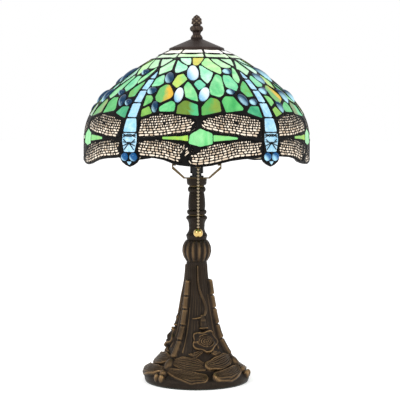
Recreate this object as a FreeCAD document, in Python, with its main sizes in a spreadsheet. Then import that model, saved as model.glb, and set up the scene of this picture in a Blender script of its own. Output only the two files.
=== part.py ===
import FreeCAD, Part
import math
import os
import Sketcher
from FreeCAD import Vector

# Stained glass table lamp. Origin: middle of the underside of the foot. +Z up, front faces -Y.

doc = FreeCAD.newDocument("stained_glass_table_lamp")

# Driving dimensions in millimetres, angles in degrees.
driving = {
    "footRadius": 72.5, "footBottom": 1.4, "footWall": 4.0, "webBottom": 20.0, "webTop": 24.0,
    "flareTop": 67.0, "flareRadius": 29.0, "trunkTop": 165.0, "trunkRadius": 14.0,
    "rodRadius": 5.0, "rodBore": 3.5, "rodBottom": 8.0, "rodTop": 308.0, "boreRadius": 5.2,
    "knopTop": 195.0, "knopRadius": 20.2, "knopRibs": 14, "lowerTop": 228.5, "columnRingTop": 236.5,
    "columnRingRadius": 13.5, "upperTop": 261.0, "collarTop": 268.0, "cupBottom": 270.0,
    "saddleBottom": 279.4, "saddleThick": 1.5, "saddleWidth": 13.0, "neckBottom": 286.7,
    "neckRadius": 9.2, "housingBottom": 301.0, "housingTop": 318.0, "housingRadius": 16.5,
    "holderTop": 348.0, "holderRadius": 19.0, "bulbRadius": 30.0, "bulbTop": 425.0,
    "harpFoot": 33.0, "harpHalf": 42.0, "harpWire": 1.9, "harpTop": 447.0,
    "studRadius": 3.0, "capBottom": 453.8, "capTop": 470.6, "capRadius": 37.8, "finialTop": 503.0,
    "crownRadius": 38.5, "crownHeight": 454.0, "crownLean": 25.8, "shadeTurn": 2.3, "sectors": 5,
    "leadFront": 0.9, "leadBack": 2.7, "leadGrip": 0.3, "glassThick": 2.4, "jewelDepth": 4.6,
    "chainSide": 2.0, "chainFront": 23.0, "beadRadius": 1.7, "beadPitch": 4.4, "ballRadius": 6.4,
    "ballHeight": 206.0, "chainHinge": 294.0, "cordBore": 3.0, "cordHeight": 6.9,
}

sheet = doc.addObject("Spreadsheet::Sheet", "dims")
for row, (alias, value) in enumerate(driving.items(), start=1):
    sheet.set(f"B{row}", alias)
    sheet.set(f"C{row}", str(value))
    sheet.setAlias(f"C{row}", alias)
doc.recompute()


class Size:
    """A length worked out from the driving cells, with the expression that binds it."""

    def __init__(self, value, text):
        self.value, self.text = value, text

    def joined(self, other, sign, result):
        text = other.text if isinstance(other, Size) else repr(other)
        return Size(result, f"({self.text} {sign} {text})")

    def __add__(self, other):
        return self.joined(other, "+", self.value + plain(other))

    def __sub__(self, other):
        return self.joined(other, "-", self.value - plain(other))

    def __mul__(self, other):
        return self.joined(other, "*", self.value * plain(other))


def plain(size):
    return size.value if isinstance(size, Size) else size


class Dims:
    """Each driving cell as a Size."""

    def __getattr__(self, alias):
        return Size(float(sheet.get(alias)), f"dims.{alias}")


D = Dims()
nodes = {}


def bind(thing, prop, size):
    """Set a property, bound to the sheet when its size comes from there."""
    setattr(thing, prop, plain(size))
    if isinstance(size, Size):
        thing.setExpression(prop, size.text)


def node(thing, name):
    thing.Label = name
    nodes[name] = thing
    return thing


def shaped(name, shape):
    """A node whose surfaces neither sketches nor primitives can give."""
    thing = doc.addObject("Part::Feature", name)
    thing.Shape = shape
    return node(thing, name)


def origin_plane(body, role):
    return next(plane for plane in body.Origin.OriginFeatures if plane.Role == role)


def turned(name, outline, keep=True):
    """A lathe-turned body. Each outline entry is (radius, height) or (radius, height, bow), where
    bow is how far the side that ends there bulges to its right."""
    body = doc.addObject("PartDesign::Body", name)
    sketch = body.newObject("Sketcher::SketchObject", name + "_outline")
    sketch.AttachmentSupport = (origin_plane(body, "XZ_Plane"), "")
    sketch.MapMode = "FlatFace"
    count = len(outline)
    corners = [Vector(plain(entry[0]), plain(entry[1]), 0) for entry in outline]
    for index in range(count):
        start, end, side = corners[index], corners[(index + 1) % count], outline[(index + 1) % count]
        if len(side) == 3:
            along = (end - start).normalize()
            middle = (start + end) * 0.5 + Vector(along.y, -along.x, 0) * plain(side[2])
            if plain(side[2]) < 0:  # an arc is given anticlockwise
                start, end = end, start
            sketch.addGeometry(Part.Arc(start, middle, end), False)
        else:
            sketch.addGeometry(Part.LineSegment(start, end), False)
    for index in range(count):
        # an arc stores its ends in the order of its own turning sense
        joint = [point_at(sketch, index, corners[(index + 1) % count]),
                 point_at(sketch, (index + 1) % count, corners[(index + 1) % count])]
        sketch.addConstraint(Sketcher.Constraint("Coincident", index, joint[0], (index + 1) % count, joint[1]))
        entry = outline[(index + 1) % count]
        for kind, size in (("DistanceX", entry[0]), ("DistanceY", entry[1])):
            if plain(size) == 0:
                sketch.addConstraint(Sketcher.Constraint(
                    "PointOnObject", index, joint[0], -2 if kind == "DistanceX" else -1))
                continue
            place = sketch.addConstraint(Sketcher.Constraint(kind, -1, 1, index, joint[0], plain(size)))
            if isinstance(size, Size):
                sketch.setExpression(f"Constraints[{place}]", size.text)
        if len(entry) == 3:
            sketch.addConstraint(Sketcher.Constraint("Radius", index, sketch.Geometry[index].Radius))
    turn = body.newObject("PartDesign::Revolution", name + "_turn")
    turn.Profile = sketch
    turn.ReferenceAxis = (sketch, ["V_Axis"])
    turn.Angle = 360
    body.Tip = turn
    return node(body, name) if keep else body


def point_at(sketch, index, corner):
    edge = sketch.Geometry[index]
    return 1 if edge.StartPoint.distanceToPoint(corner) < 1e-6 else 2


def ring(name, bottom, top, radius, bore=None):
    """A plain collar round the rod."""
    bore = D.boreRadius if bore is None else bore
    return turned(name, [(bore, bottom), (radius, bottom), (radius, top), (bore, top)])


# ---- foot, weight and rod ----

base_outline = [
    (D.footRadius, D.footBottom), (D.footRadius, 8), (66, 14, 1.2), (D.flareRadius, D.flareTop, -5),
    (D.trunkRadius, D.trunkTop, -2.5), (D.boreRadius, D.trunkTop), (D.boreRadius, D.trunkTop - 4),
    (10, D.trunkTop - 4), (25, D.flareTop, 2.5), (49, D.webTop, 3.2), (D.boreRadius, D.webTop),
    (D.boreRadius, D.webBottom), (53, D.webBottom), (63, 10.5, 0.4), (D.footRadius - D.footWall, 6.5),
    (D.footRadius - D.footWall, D.footBottom),
]
casting = turned("casting_shell", base_outline, keep=False)


def polar(angle, radius, height):
    """A point at an angle to the right of the front, seen from the front."""
    turn = math.radians(angle)
    return Vector(radius * math.sin(turn), -radius * math.cos(turn), height)


def chain_of(points, radii):
    """Balls joined by tapered rods, as one solid."""
    solids = [Part.makeSphere(radius, point) for point, radius in zip(points, radii)]
    for start, end, first, last in zip(points, points[1:], radii, radii[1:]):
        run = end - start
        last = last if abs(first - last) > 0.01 else last * 0.99
        solids.append(Part.makeCone(first, last, run.Length, start, run))
    return solids[0].multiFuse(solids[1:])


tail_line = [(17.5, 133, 2.6), (21, 108, 3.2), (26, 84, 3.8), (33, 62, 4.4), (43, 45, 5.0)]
flare_skin = [(30, 62), (35, 50), (41, 40), (48, 30), (56, 22), (64, 15.6), (70.8, 10.5), (72.4, 12.5),
              (66.2, 18), (58.2, 24.6), (50.4, 32.6), (43.2, 42.4), (37.2, 52.2), (32.2, 64)]
wing_plans = [[(4, 40), (14, 34), (30, 29), (40, 32), (42, 40), (34, 47), (16, 46)],
              [(4, 50), (14, 47), (30, 47), (38, 52), (38, 62), (26, 67), (12, 62)]]


def base_dragonfly(angle, skin):
    """Tail down the flare, thorax, head with two eyes at the rim, and two pairs of wings."""
    tail = chain_of([polar(angle, r, z) for r, z, _ in tail_line], [ball for _, _, ball in tail_line])
    body = chain_of([polar(angle, 47, 38), polar(angle, 56, 27)], [6.4, 6.0])
    eyes = [Part.makeSphere(4.2, polar(angle + side, 63, 18)) for side in (-5.2, 5.2)]
    wings = []
    for side in (-1, 1):
        for plan in wing_plans:
            corners = [polar(angle + side * turn, radius, 4) for turn, radius in plan]
            wings.append(Part.Face(Part.makePolygon(corners + corners[:1])).extrude(Vector(0, 0, 70)).common(skin))
    return [tail, body] + eyes + wings


def base_rose(angle):
    """A rose on the trunk with a cut branch stub over it and a stem that winds up to the knop."""
    out = polar(angle, 1, 0)
    bloom = Part.makeCone(14, 9, 9, polar(angle, 29, 56), out + Vector(0, 0, 0.35))
    heart = Part.makeSphere(5.6, polar(angle, 36.5, 59))
    stub = Part.makeCylinder(4, 15, polar(angle, 27, 73), Vector(0, 0, 4) - out)
    stem_line = [(0, 27, 78), (-5, 25, 91), (12, 22.5, 103), (4, 19.5, 117), (-12, 17.4, 136), (-13, 15.2, 153)]
    stem = chain_of([polar(angle + turn, r, z) for turn, r, z in stem_line], [3.4, 3.1, 2.8, 2.6, 2.4, 2.2])
    return [bloom, heart, stub, stem]


skin_edge = [Vector(radius, 0, height) for radius, height in flare_skin]
flare_shell = Part.Face(Part.makePolygon(skin_edge + skin_edge[:1])).revolve(Vector(), Vector(0, 0, 1), 360)
relief = doc.addObject("Part::Feature", "casting_relief")
relief_parts = []
for third in range(3):
    relief_parts += base_dragonfly(120 * third - 45, flare_shell) + base_rose(120 * third + 20)
relief.Shape = relief_parts[0].multiFuse(relief_parts[1:])
casting_body = doc.addObject("Part::Fuse", "casting_body")
casting_body.Base, casting_body.Tool = casting, relief
cord_hole = doc.addObject("Part::Cylinder", "cord_hole")
bind(cord_hole, "Radius", D.cordBore + 1)
cord_hole.Height = 20
cord_hole.Placement = FreeCAD.Placement(Vector(0, 62, plain(D.cordHeight)), FreeCAD.Rotation(Vector(1, 0, 0), -90))
cored = doc.addObject("Part::Cut", "base_casting")
cored.Base, cored.Tool = casting_body, cord_hole
node(cored, "base_casting")

ring("felt_pad", 0, D.footBottom, D.footRadius - 1, 18)
plate_radius = D.footRadius - D.footWall - 0.3
ring("bottom_cover_plate", D.footBottom, D.footBottom + 1.5, plate_radius, 14)
turned("ballast_ring", [(22, 3.2), (58, 3.2), (58, 10), (55, 13), (25, 13), (22, 10)])
grommet_length = 7
grommet = turned("cord_grommet", [
    (D.cordBore, 0), (D.cordBore + 0.9, 0), (D.cordBore + 0.9, 5.4), (D.cordBore + 2, 5.4),
    (D.cordBore + 1.6, grommet_length), (D.cordBore, grommet_length)])
grommet.Placement = FreeCAD.Placement(
    Vector(0, plain(D.footRadius) - 5.2, plain(D.cordHeight)), FreeCAD.Rotation(Vector(1, 0, 0), -90))


def hexagon_nut(name, bottom, height, across, bore):
    """A six-sided nut: a prism with a bore."""
    prism = doc.addObject("Part::Prism", name + "_prism")
    prism.Polygon, prism.Circumradius, prism.Height = 6, across / math.sqrt(3), height
    hole = doc.addObject("Part::Cylinder", name + "_hole")
    bind(hole, "Radius", bore)
    hole.Height = height
    nut = doc.addObject("Part::Cut", name)
    nut.Base, nut.Tool = prism, hole
    for piece in (prism, hole):
        piece.Placement.Base = Vector(0, 0, bottom)
    return node(nut, name)


ring("threaded_rod", D.rodBottom, D.rodTop, D.rodRadius, D.rodBore)
hexagon_nut("rod_nut", 13, 5.5, 15, D.boreRadius)
ring("lock_washer", 18.5, D.webBottom, 9)

# ---- turned column ----

knop = turned("ribbed_knop", [
    (D.boreRadius, D.trunkTop), (13.7, D.trunkTop), (14.6, D.trunkTop + 2.5), (D.knopRadius, D.trunkTop + 16, 1.6),
    (14.4, D.knopTop - 2.5, 1.6), (13.2, D.knopTop), (D.boreRadius, D.knopTop)])
rib_sketch = knop.newObject("Sketcher::SketchObject", "knop_groove_outline")
rib_sketch.AttachmentSupport = (origin_plane(knop, "XY_Plane"), "")
rib_sketch.MapMode = "FlatFace"
rib_sketch.addGeometry(Part.Circle(Vector(21.6, 0, 0), Vector(0, 0, 1), 2.3), False)
groove_place = rib_sketch.addConstraint(Sketcher.Constraint("DistanceX", -1, 1, 0, 3, 21.6))
rib_sketch.setExpression(f"Constraints[{groove_place}]", "dims.knopRadius + 1.4")
rib_sketch.addConstraint(Sketcher.Constraint("PointOnObject", 0, 3, -1))
rib_sketch.addConstraint(Sketcher.Constraint("Radius", 0, 2.3))
groove = knop.newObject("PartDesign::Pocket", "knop_groove")
groove.Profile = rib_sketch
groove.Type = "ThroughAll"
groove.Reversed = True
ribs = knop.newObject("PartDesign::PolarPattern", "knop_grooves")
ribs.Originals = [groove]
ribs.Axis = (rib_sketch, ["N_Axis"])
ribs.Angle = 360
ribs.setExpression("Occurrences", "dims.knopRibs")
knop.Tip = ribs

turned("lower_baluster", [
    (D.boreRadius, D.knopTop), (13.2, D.knopTop), (14.9, D.knopTop + 6.4), (13.2, D.knopTop + 9),
    (11.1, D.knopTop + 19, -1.2), (14.7, D.knopTop + 29.4, -1.2), (12.2, D.lowerTop, 0.8), (D.boreRadius, D.lowerTop)])
ring("lower_check_ring", D.lowerTop, D.lowerTop + 1.5, 11.2)
turned("column_ring", [
    (D.boreRadius, D.lowerTop + 1.5), (11.6, D.lowerTop + 1.5), (D.columnRingRadius, D.lowerTop + 4.5, 0.5),
    (11.6, D.columnRingTop, 0.8), (D.boreRadius, D.columnRingTop)])
turned("upper_baluster", [
    (D.boreRadius, D.columnRingTop), (11.1, D.columnRingTop), (11.8, D.columnRingTop + 8.5, 0.3),
    (10.1, D.upperTop, 0.3), (D.boreRadius, D.upperTop)])
turned("collar_ring", [
    (D.boreRadius, D.upperTop), (11, D.upperTop), (12.3, D.upperTop + 3, 0.3), (11, D.collarTop, 0.5),
    (D.boreRadius, D.collarTop)])
ring("upper_check_ring", D.collarTop, D.cupBottom, 10.3)
turned("socket_cup", [
    (D.boreRadius, D.cupBottom), (10.6, D.cupBottom), (13.6, D.cupBottom + 3.4, 0.8), (14, D.saddleBottom),
    (D.boreRadius, D.saddleBottom)])
plate_top = D.saddleBottom + D.saddleThick
ring("saddle_washer", plate_top, plate_top + 2.5, 9.6)
ring("neck_nut", plate_top + 2.5, D.neckBottom, 6.75)
ring("neck_tube", D.neckBottom, D.housingBottom, D.neckRadius)

# ---- harp ----

half_width = plain(D.saddleWidth) / 2
thick = plain(D.saddleThick)
low, foot = plain(D.saddleBottom), plain(D.harpFoot)
arm = [(0, low), (18, low), (foot + 1, low + 13.6), (foot + 1, low + 21), (foot + 1 - thick, low + 21),
       (foot + 1 - thick, low + 16.4), (16.2, low + thick), (0, low + thick)]
both_arms = arm + [(-x, z) for x, z in arm[-2:0:-1]]
saddle_edge = [Vector(x, -half_width, z) for x, z in both_arms]
saddle = Part.Face(Part.makePolygon(saddle_edge + saddle_edge[:1])).extrude(Vector(0, 2 * half_width, 0))
shaped("harp_saddle", saddle.cut(Part.makeCylinder(plain(D.boreRadius), 40, Vector(0, 0, low - 20))))


def pipe(points, arc_radius, wire_radius):
    """A round wire along straight runs joined by tangent arcs."""
    edges, start = [], points[0]
    for before, corner, after in zip(points, points[1:], points[2:]):
        into, out = (corner - before).normalize(), (after - corner).normalize()
        turn = into.getAngle(out)
        trim = arc_radius * math.tan(turn / 2)
        first, last = corner - into * trim, corner + out * trim
        middle = corner + (out - into).normalize() * (arc_radius / math.cos(turn / 2) - arc_radius)
        edges += [Part.LineSegment(start, first).toShape(), Part.Arc(first, middle, last).toShape()]
        start = last
    edges.append(Part.LineSegment(start, points[-1]).toShape())
    section = Part.Wire([Part.Circle(points[0], points[1] - points[0], wire_radius).toShape()])
    return Part.Wire(edges).makePipeShell([section], True, False)


wire = plain(D.harpWire)
half, top = plain(D.harpHalf), plain(D.harpTop)
inset = foot + 1 - thick - wire - 0.05
left_side = [Vector(-inset, 0, low + 17.6), Vector(-inset, 0, low + 36), Vector(-half, 0, low + 66),
             Vector(-half, 0, top - 36), Vector(-half + 16, 0, top - 6), Vector(-8, 0, top)]
right_side = [Vector(-point.x, 0, point.z) for point in reversed(left_side)]
shaped("harp_bow", pipe(left_side + right_side, 14, wire))
sleeve_outer, sleeve_length = wire + 1.1, 8
sleeves = []
for side in (-1, 1):
    foot_point = Vector(side * inset, 0, low + 24)
    tube = Part.makeCylinder(sleeve_outer, sleeve_length, foot_point)
    sleeves.append(tube.cut(Part.makeCylinder(wire + 0.05, sleeve_length, foot_point)))
shaped("harp_ferrules", Part.makeCompound(sleeves))
turned("harp_top_stud", [
    (0, D.harpTop + 2), (5, D.harpTop + 2), (8, D.harpTop + 3.2), (8, D.harpTop + 4.4),
    (D.studRadius, D.harpTop + 4.4), (D.studRadius, D.harpTop + 36), (0, D.harpTop + 37)])

# ---- lampholder and bulb ----

housing_wall = turned("housing_wall", [
    (D.boreRadius, D.housingBottom), (D.housingRadius - 3, D.housingBottom),
    (D.housingRadius, D.housingBottom + 2.5, 0.7), (D.housingRadius, D.housingTop),
    (D.housingRadius - 1.5, D.housingTop), (D.housingRadius - 1.5, D.housingBottom + 2.6),
    (D.boreRadius, D.housingBottom + 2.6)], keep=False)
switch_slot = doc.addObject("Part::Box", "switch_slot")
switch_slot.Length, switch_slot.Width, switch_slot.Height = 5, 8, 13
switch_slot.Placement.Base = Vector(plain(D.chainSide) - 2.5, -20, plain(D.housingBottom) + 3)
housing = doc.addObject("Part::Cut", "switch_housing")
housing.Base, housing.Tool = housing_wall, switch_slot
node(housing, "switch_housing")
ring("housing_nut", D.housingBottom + 2.6, D.housingBottom + 6, 8)
holder = D.holderRadius
turned("lampholder_shell", [
    (4, D.housingTop), (holder - 1, D.housingTop), (holder, D.housingTop + 1), (holder, D.holderTop),
    (holder - 1.3, D.holderTop), (holder - 1.3, D.housingTop + 1.5), (4, D.housingTop + 1.5)])
turned("socket_insulator", [
    (4, D.housingTop + 1.5), (holder - 1.6, D.housingTop + 1.5), (holder - 1.6, D.holderTop - 2),
    (14.7, D.holderTop - 2), (14.7, D.housingTop + 4), (4, D.housingTop + 4)])
ring("screw_shell", D.housingTop + 5, D.holderTop - 3, 14.5, 13.6)
turned("centre_contact", [(0, D.housingTop + 2), (3.6, D.housingTop + 2), (2.4, D.housingTop + 6.4), (0, D.housingTop + 6.4)])
turned("bulb_base", [
    (0, D.housingTop + 6.4), (3.2, D.housingTop + 6.4), (13.2, D.housingTop + 10), (13.2, D.holderTop + 3),
    (0, D.holderTop + 3)])
bulb_middle = D.bulbTop - D.bulbRadius
quarter_bow = 1 - math.cos(math.radians(45))  # how far a quarter circle bulges, per unit of its radius
turned("bulb_glass", [
    (0, D.holderTop + 3), (13.2, D.holderTop + 3), (14.6, D.holderTop + 8), (D.bulbRadius, bulb_middle, -2.2),
    (0, D.bulbTop, D.bulbRadius * quarter_bow), (0, D.bulbTop - 1.2),
    (D.bulbRadius - 1.2, bulb_middle, (D.bulbRadius - 1.2) * -quarter_bow),
    (13.4, D.holderTop + 8.4, 2.2), (12, D.holderTop + 4.2), (0, D.holderTop + 4.2)])

# ---- pull switch ----

chain_at = Vector(plain(D.chainSide), -plain(D.chainFront), 0)
hinge_height = plain(D.chainHinge)
guide_tube = Part.makeCylinder(3.4, 6, chain_at + Vector(0, 0, hinge_height + 1)).cut(
    Part.makeCylinder(2.3, 6, chain_at + Vector(0, 0, hinge_height + 1)))
guide_arm = Part.makeBox(3, 6, 2.4, Vector(chain_at.x - 1.5, chain_at.y + 2.8, hinge_height + 4.4))
guide_post = Part.makeBox(3, 3.6, 6.4, Vector(chain_at.x - 1.5, chain_at.y + 8.4, hinge_height + 4.4))
shaped("chain_guide", guide_tube.fuse([guide_arm, guide_post]).cut(
    Part.makeCylinder(2.3, 6, chain_at + Vector(0, 0, hinge_height + 1))).cut(
    Part.makeCylinder(plain(D.housingRadius), 6, Vector(0, 0, plain(D.housingBottom)))))
lever_height = plain(D.housingBottom) + 11.5
shaped("pull_lever", Part.makeBox(4, 13, 2, Vector(chain_at.x - 2, chain_at.y, lever_height)).fuse(
    Part.makeCylinder(2, 2, chain_at + Vector(0, 0, lever_height))))


def beads(name, top, count):
    """Hollow beads strung on a fine wire."""
    pitch, radius = plain(D.beadPitch), plain(D.beadRadius)
    bottom = top - pitch * (count - 1)
    links = [Part.makeSphere(radius, chain_at + Vector(0, 0, top - pitch * index)) for index in range(count)]
    core = Part.makeCylinder(0.5, top - bottom + 2 * radius, chain_at + Vector(0, 0, bottom - radius))
    return shaped(name, core.multiFuse(links))


bead_pitch = plain(D.beadPitch)
beads("chain_top", lever_height - plain(D.beadRadius) - 0.3, 4)
first_bead = hinge_height - 0.6
bead_count = int((first_bead - plain(D.ballHeight) - plain(D.ballRadius)) / bead_pitch) + 1
beads("pull_chain", first_bead, bead_count)
ball = doc.addObject("Part::Sphere", "pull_ball")
bind(ball, "Radius", D.ballRadius)
ball.Placement.Base = chain_at + Vector(0, 0, plain(D.ballHeight))
node(ball, "pull_ball")

# ---- shade surface: four tangent arcs, each with its length and how far it bends ----

shade_arcs = [(100, 16.7), (35, 15.0), (30, 27.0), (50, 11.0)]


def profile(along, lift=0):
    """Radius, height and lean of the shade's outside, so far down from the crown."""
    radius, height, lean = plain(D.crownRadius), plain(D.crownHeight), math.radians(plain(D.crownLean))
    for length, bend in shade_arcs:
        rate = math.radians(bend) / length
        run = min(along, length)
        after = lean + rate * run
        radius += (math.sin(after) - math.sin(lean)) / rate
        height += (math.cos(after) - math.cos(lean)) / rate
        lean, along = after, along - run
        if along <= 0:
            break
    return radius + lift * math.sin(lean), height + lift * math.cos(lean), lean


def on_shade(angle, along, lift=0):
    radius, height, _ = profile(along, lift)
    return polar(angle + plain(D.shadeTurn), radius, height)


def outward(angle, along):
    lean = profile(along)[2]
    return polar(angle + plain(D.shadeTurn), math.sin(lean), math.cos(lean))


def wall(first, last, back, front):
    """The section of a band of the shade's wall."""
    stops = [0]
    for length, _ in shade_arcs:
        stops.append(stops[-1] + length)
    spans = [(max(low, first), min(high, last)) for low, high in zip(stops, stops[1:]) if high > first and low < last]
    skins = []
    for lift in (front, -back):
        arcs = []
        for low, high in spans:
            ends = [profile(at, lift) for at in (low, (low + high) / 2, high)]
            arcs.append(Part.Arc(*[Vector(radius, 0, height) for radius, height, _ in ends]).toShape())
        skins.append(arcs)
    joins = [Part.LineSegment(skins[0][-1].Vertexes[-1].Point, skins[1][-1].Vertexes[-1].Point).toShape(),
             Part.LineSegment(skins[0][0].Vertexes[0].Point, skins[1][0].Vertexes[0].Point).toShape()]
    return Part.Face(Part.Wire(Part.__sortEdges__(skins[0] + skins[1] + joins)))


def revolved(first, last, back, front, start=0, sweep=360):
    section = wall(first, last, back, front)
    section.rotate(Vector(), Vector(0, 0, 1), start + plain(D.shadeTurn) - 90)
    return section.revolve(Vector(), Vector(0, 0, 1), sweep)


def middle_of(outline):
    count = len(outline)
    return sum(angle for angle, _ in outline) / count, sum(along for _, along in outline) / count


def prism(outline, back, front, grow=0):
    """A flat-faced block through the shade's wall with the given outline of (angle, distance down)."""
    angle, along = middle_of(outline)
    normal = outward(angle, along)
    corners = [on_shade(*corner) for corner in outline]
    centre = sum(corners, Vector()) * (1 / len(corners))
    flat = []
    for corner in corners:
        arm = corner - centre
        arm -= normal * arm.dot(normal)
        flat.append(centre + arm * (1 + grow / arm.Length) - normal * back)
    return Part.Face(Part.makePolygon(flat + flat[:1])).extrude(normal * (back + front))


def jewel_frame(angle, along, tilt):
    """Placement with Z out of the shade and Y up it, tilted with its top to the left."""
    normal, up = outward(angle, along), (on_shade(angle, along - 1) - on_shade(angle, along + 1)).normalize()
    turn = FreeCAD.Rotation(up.cross(normal), up, normal, "ZYX")
    return FreeCAD.Placement(on_shade(angle, along), turn.multiply(FreeCAD.Rotation(Vector(0, 0, 1), tilt)))


def jewel(angle, along, width, length, tilt):
    """A domed oval jewel."""
    squeeze = FreeCAD.Matrix()
    squeeze.scale(width / 2, length / 2, plain(D.jewelDepth))
    gem = Part.makeSphere(1).transformGeometry(squeeze)
    gem.Placement = jewel_frame(angle, along, tilt).multiply(gem.Placement)
    return gem


def jewel_hole(angle, along, width, length, tilt):
    grip = plain(D.leadGrip)
    major, minor = max(width, length) / 2 + grip, min(width, length) / 2 + grip
    oval = Part.Ellipse(Vector(), major, minor)
    if length > width:
        oval.rotate(FreeCAD.Placement(Vector(), Vector(0, 0, 1), 90))
    block = Part.Face(Part.Wire(oval.toShape())).extrude(Vector(0, 0, 16))
    block.Placement = jewel_frame(angle, along, tilt).multiply(FreeCAD.Placement(Vector(0, 0, -8), FreeCAD.Rotation()))
    return block


# ---- the pattern of one fifth of the shade: (angle, distance down) of each pane ----

panes = {
    "glass_pale_mint": [
        [(27, 31), (40, 31), (34.5, 48)],
        [(-26.5, 34), (-24, 58.5), (-27.5, 62.5), (-32, 68), (-35.5, 53.5), (-30, 40)],
        [(-22.4, 35.5), (-17, 43.5), (-11.5, 49.5), (-10.8, 54.5), (-11.3, 58.5), (-16.8, 64.5), (-18.8, 64), (-21, 50)],
        [(-20.5, 29.5), (-9.4, 29), (-8.6, 38), (-8.8, 46), (-10.6, 46), (-14, 41.5)],
        [(15, 32), (22.3, 31.5), (27.6, 43), (30.3, 48.5), (29.5, 51.5), (25.8, 53), (21.3, 52)],
        [(0.4, 50), (2.3, 50), (4.2, 54), (10.2, 65.5), (7.3, 79), (4.8, 87.5), (2.6, 80.5), (1.1, 62)],
        [(-27.7, 70.5), (-24.9, 87.5), (-26.9, 92), (-31.7, 92.5), (-31.9, 78), (-30.3, 73.5)]],
    "glass_amber": [[(-5.9, 29), (5.2, 29), (3.2, 34.5), (0, 43), (-1.5, 46.5), (-3.5, 47), (-5.1, 44.5)]],
    "glass_lime": [
        [(8, 30.5), (11.2, 29.5), (14.3, 40), (18.7, 53), (17.2, 64), (16, 67.5), (9, 57), (3, 45.5), (3.4, 42)],
        [(-12.5, 68.5), (-9.2, 80), (-10.9, 86), (-14.4, 96), (-17.9, 88.5), (-17, 78), (-16.2, 71.5)],
        [(-6.5, 168.5), (-6.5, 174.5), (-18, 172), (-18, 170.5)],
        [(6, 168.5), (6, 175), (17, 172.5), (17, 171.5)]],
    "glass_green": [
        [(31, 53.5), (31.8, 56), (30.3, 73), (29.1, 80), (26.6, 86.5), (25.4, 83), (25.3, 76), (28.9, 61)],
        [(12.4, 70), (14.2, 71), (15.5, 75), (14.2, 102), (12.8, 109), (10.5, 113.5), (6.2, 109), (6, 97), (7.8, 86)],
        [(14.3, 113.5), (18.4, 114), (22, 131), (21.7, 134), (12.8, 137), (11.7, 121)],
        [(5.6, 116), (8.6, 118), (9.9, 122), (9.9, 136), (0.7, 141.5), (0.6, 130.5)],
        [(-7.9, 86), (-6.2, 90), (-2.5, 108), (-1.8, 120.5), (-8, 113.5), (-9.8, 95)],
        [(-31.6, 111.5), (-28.6, 112), (-27.3, 116), (-27.4, 122), (-30.9, 127.5)],
        [(-15.9, 121), (-14.5, 122.5), (-13.6, 128), (-13.8, 135.5), (-20.9, 135.5), (-21.3, 130)],
        [(-0.5, 160.5), (4.9, 166.5), (4.9, 178), (-0.5, 181.5), (-5.5, 177.5), (-5, 168)]],
    "glass_teal": [
        [(0, 81.5), (3.2, 90.5), (2.6, 94), (-0.8, 100.5), (-3.5, 89.5)],
        [(18.5, 71), (22.8, 72), (24.9, 88.5), (24.5, 94), (21.9, 102), (16.8, 95), (16.6, 85)],
        [(27.1, 129.5), (31.6, 129.5), (31.6, 144.5), (28.6, 142), (24.4, 137.5)]],
    "glass_olive": [
        [(31.4, 83.5), (32, 88), (31.4, 111), (27.8, 112.5), (25.5, 102.5), (26.8, 95)],
        [(-9.1, 121), (-7.6, 120.5), (-2, 127), (-1.6, 142), (-11.9, 138.8), (-11.8, 128)],
        [(-22.2, 91.5), (-19.9, 92), (-16.2, 106), (-16.9, 115), (-21.7, 121.5), (-24.3, 119), (-25.6, 113), (-25, 97)],
        [(-27.9, 129.5), (-25.4, 138.5), (-30.4, 143), (-31, 134)]],
    "body_glass": [
        [(36, 61), (38.2, 76), (33.8, 76)], [(33.8, 79.5), (38.2, 79.5), (38.2, 99), (33.8, 99)],
        [(33.7, 102), (38.3, 102), (38.3, 121.5), (33.7, 121.5)], [(33.4, 124), (38.6, 124), (38.6, 144), (33.4, 144)],
        [(33.2, 146.5), (38.8, 146.5), (39.7, 163.5), (32.3, 163.5)],
        [(31.8, 165.5), (40.2, 165.5), (40, 176), (39, 182), (33, 182), (32, 176)],
        [(36, 183.5), (39.2, 190), (32.8, 190)], [(34.6, 201.5), (37.4, 201.5), (36, 206)]],
}
rows = {"glass_crown_cream": (2.5, 12.5, -27, 2.6), "glass_crown_mint": (16, 25, -28, 2.0)}
for name, (top_edge, bottom_edge, border, gap) in rows.items():
    panes[name] = [[(start + gap, top_edge), (start + 36 - gap, top_edge), (start + 36 - gap * 0.8, bottom_edge),
                    (start + gap * 0.8, bottom_edge)] for start in (border, border + 36)]

jewels = {  # angle, distance down, width, length, tilt
    "jewels_white": [(-5.2, 65, 14.5, 34, 4), (2.2, 108.5, 12, 25, -15), (-12.3, 109.5, 11, 26, -2)],
    "jewels_blue": [
        (-22, 75.5, 11.5, 23, 11), (23.1, 62.5, 12, 10, 0), (18.1, 104.6, 11, 8.5, -12), (24, 117.8, 10.5, 20, 17),
        (29.9, 121.8, 11, 9.5, 0), (-29.8, 102, 13, 12, 0), (-24.3, 129, 8, 17.5, 9)],
    "eye_jewels": [(33.5, 195.5, 10.5, 10, 0), (38.5, 195.5, 10.5, 10, 0)],
}
wings = {
    "wing_glass_upper": [
        [(-31, 148), (-27, 145), (-24, 141.5), (-20, 138.8), (-14, 140), (-8, 143), (-4, 146.5), (-2.3, 152),
         (-2.5, 159), (-5, 163.5), (-12, 166), (-22, 169.3), (-31, 170)],
        [(0, 156), (0.2, 152), (1, 147.5), (4, 144.5), (13, 139.5), (16, 139), (24, 143), (31, 149), (31, 171),
         (23, 170), (10, 165), (5, 162), (1.5, 160)]],
    "wing_glass_lower": [
        [(-31, 174.5), (-27.5, 174.5), (-21.5, 172.5), (-17, 174.5), (-7, 177.5), (-3.5, 184.5), (-6, 192.5),
         (-8.8, 201), (-10, 202), (-17, 197), (-23, 195), (-31, 193)],
        [(31, 176), (23.5, 174), (15, 176), (9, 177.5), (5, 180), (0, 184.5), (-1, 189), (-4, 190), (-6.5, 199),
         (-5, 205), (-1, 206), (3, 204.5), (12, 199.5), (20, 195.5), (31, 193)]],
}
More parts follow.
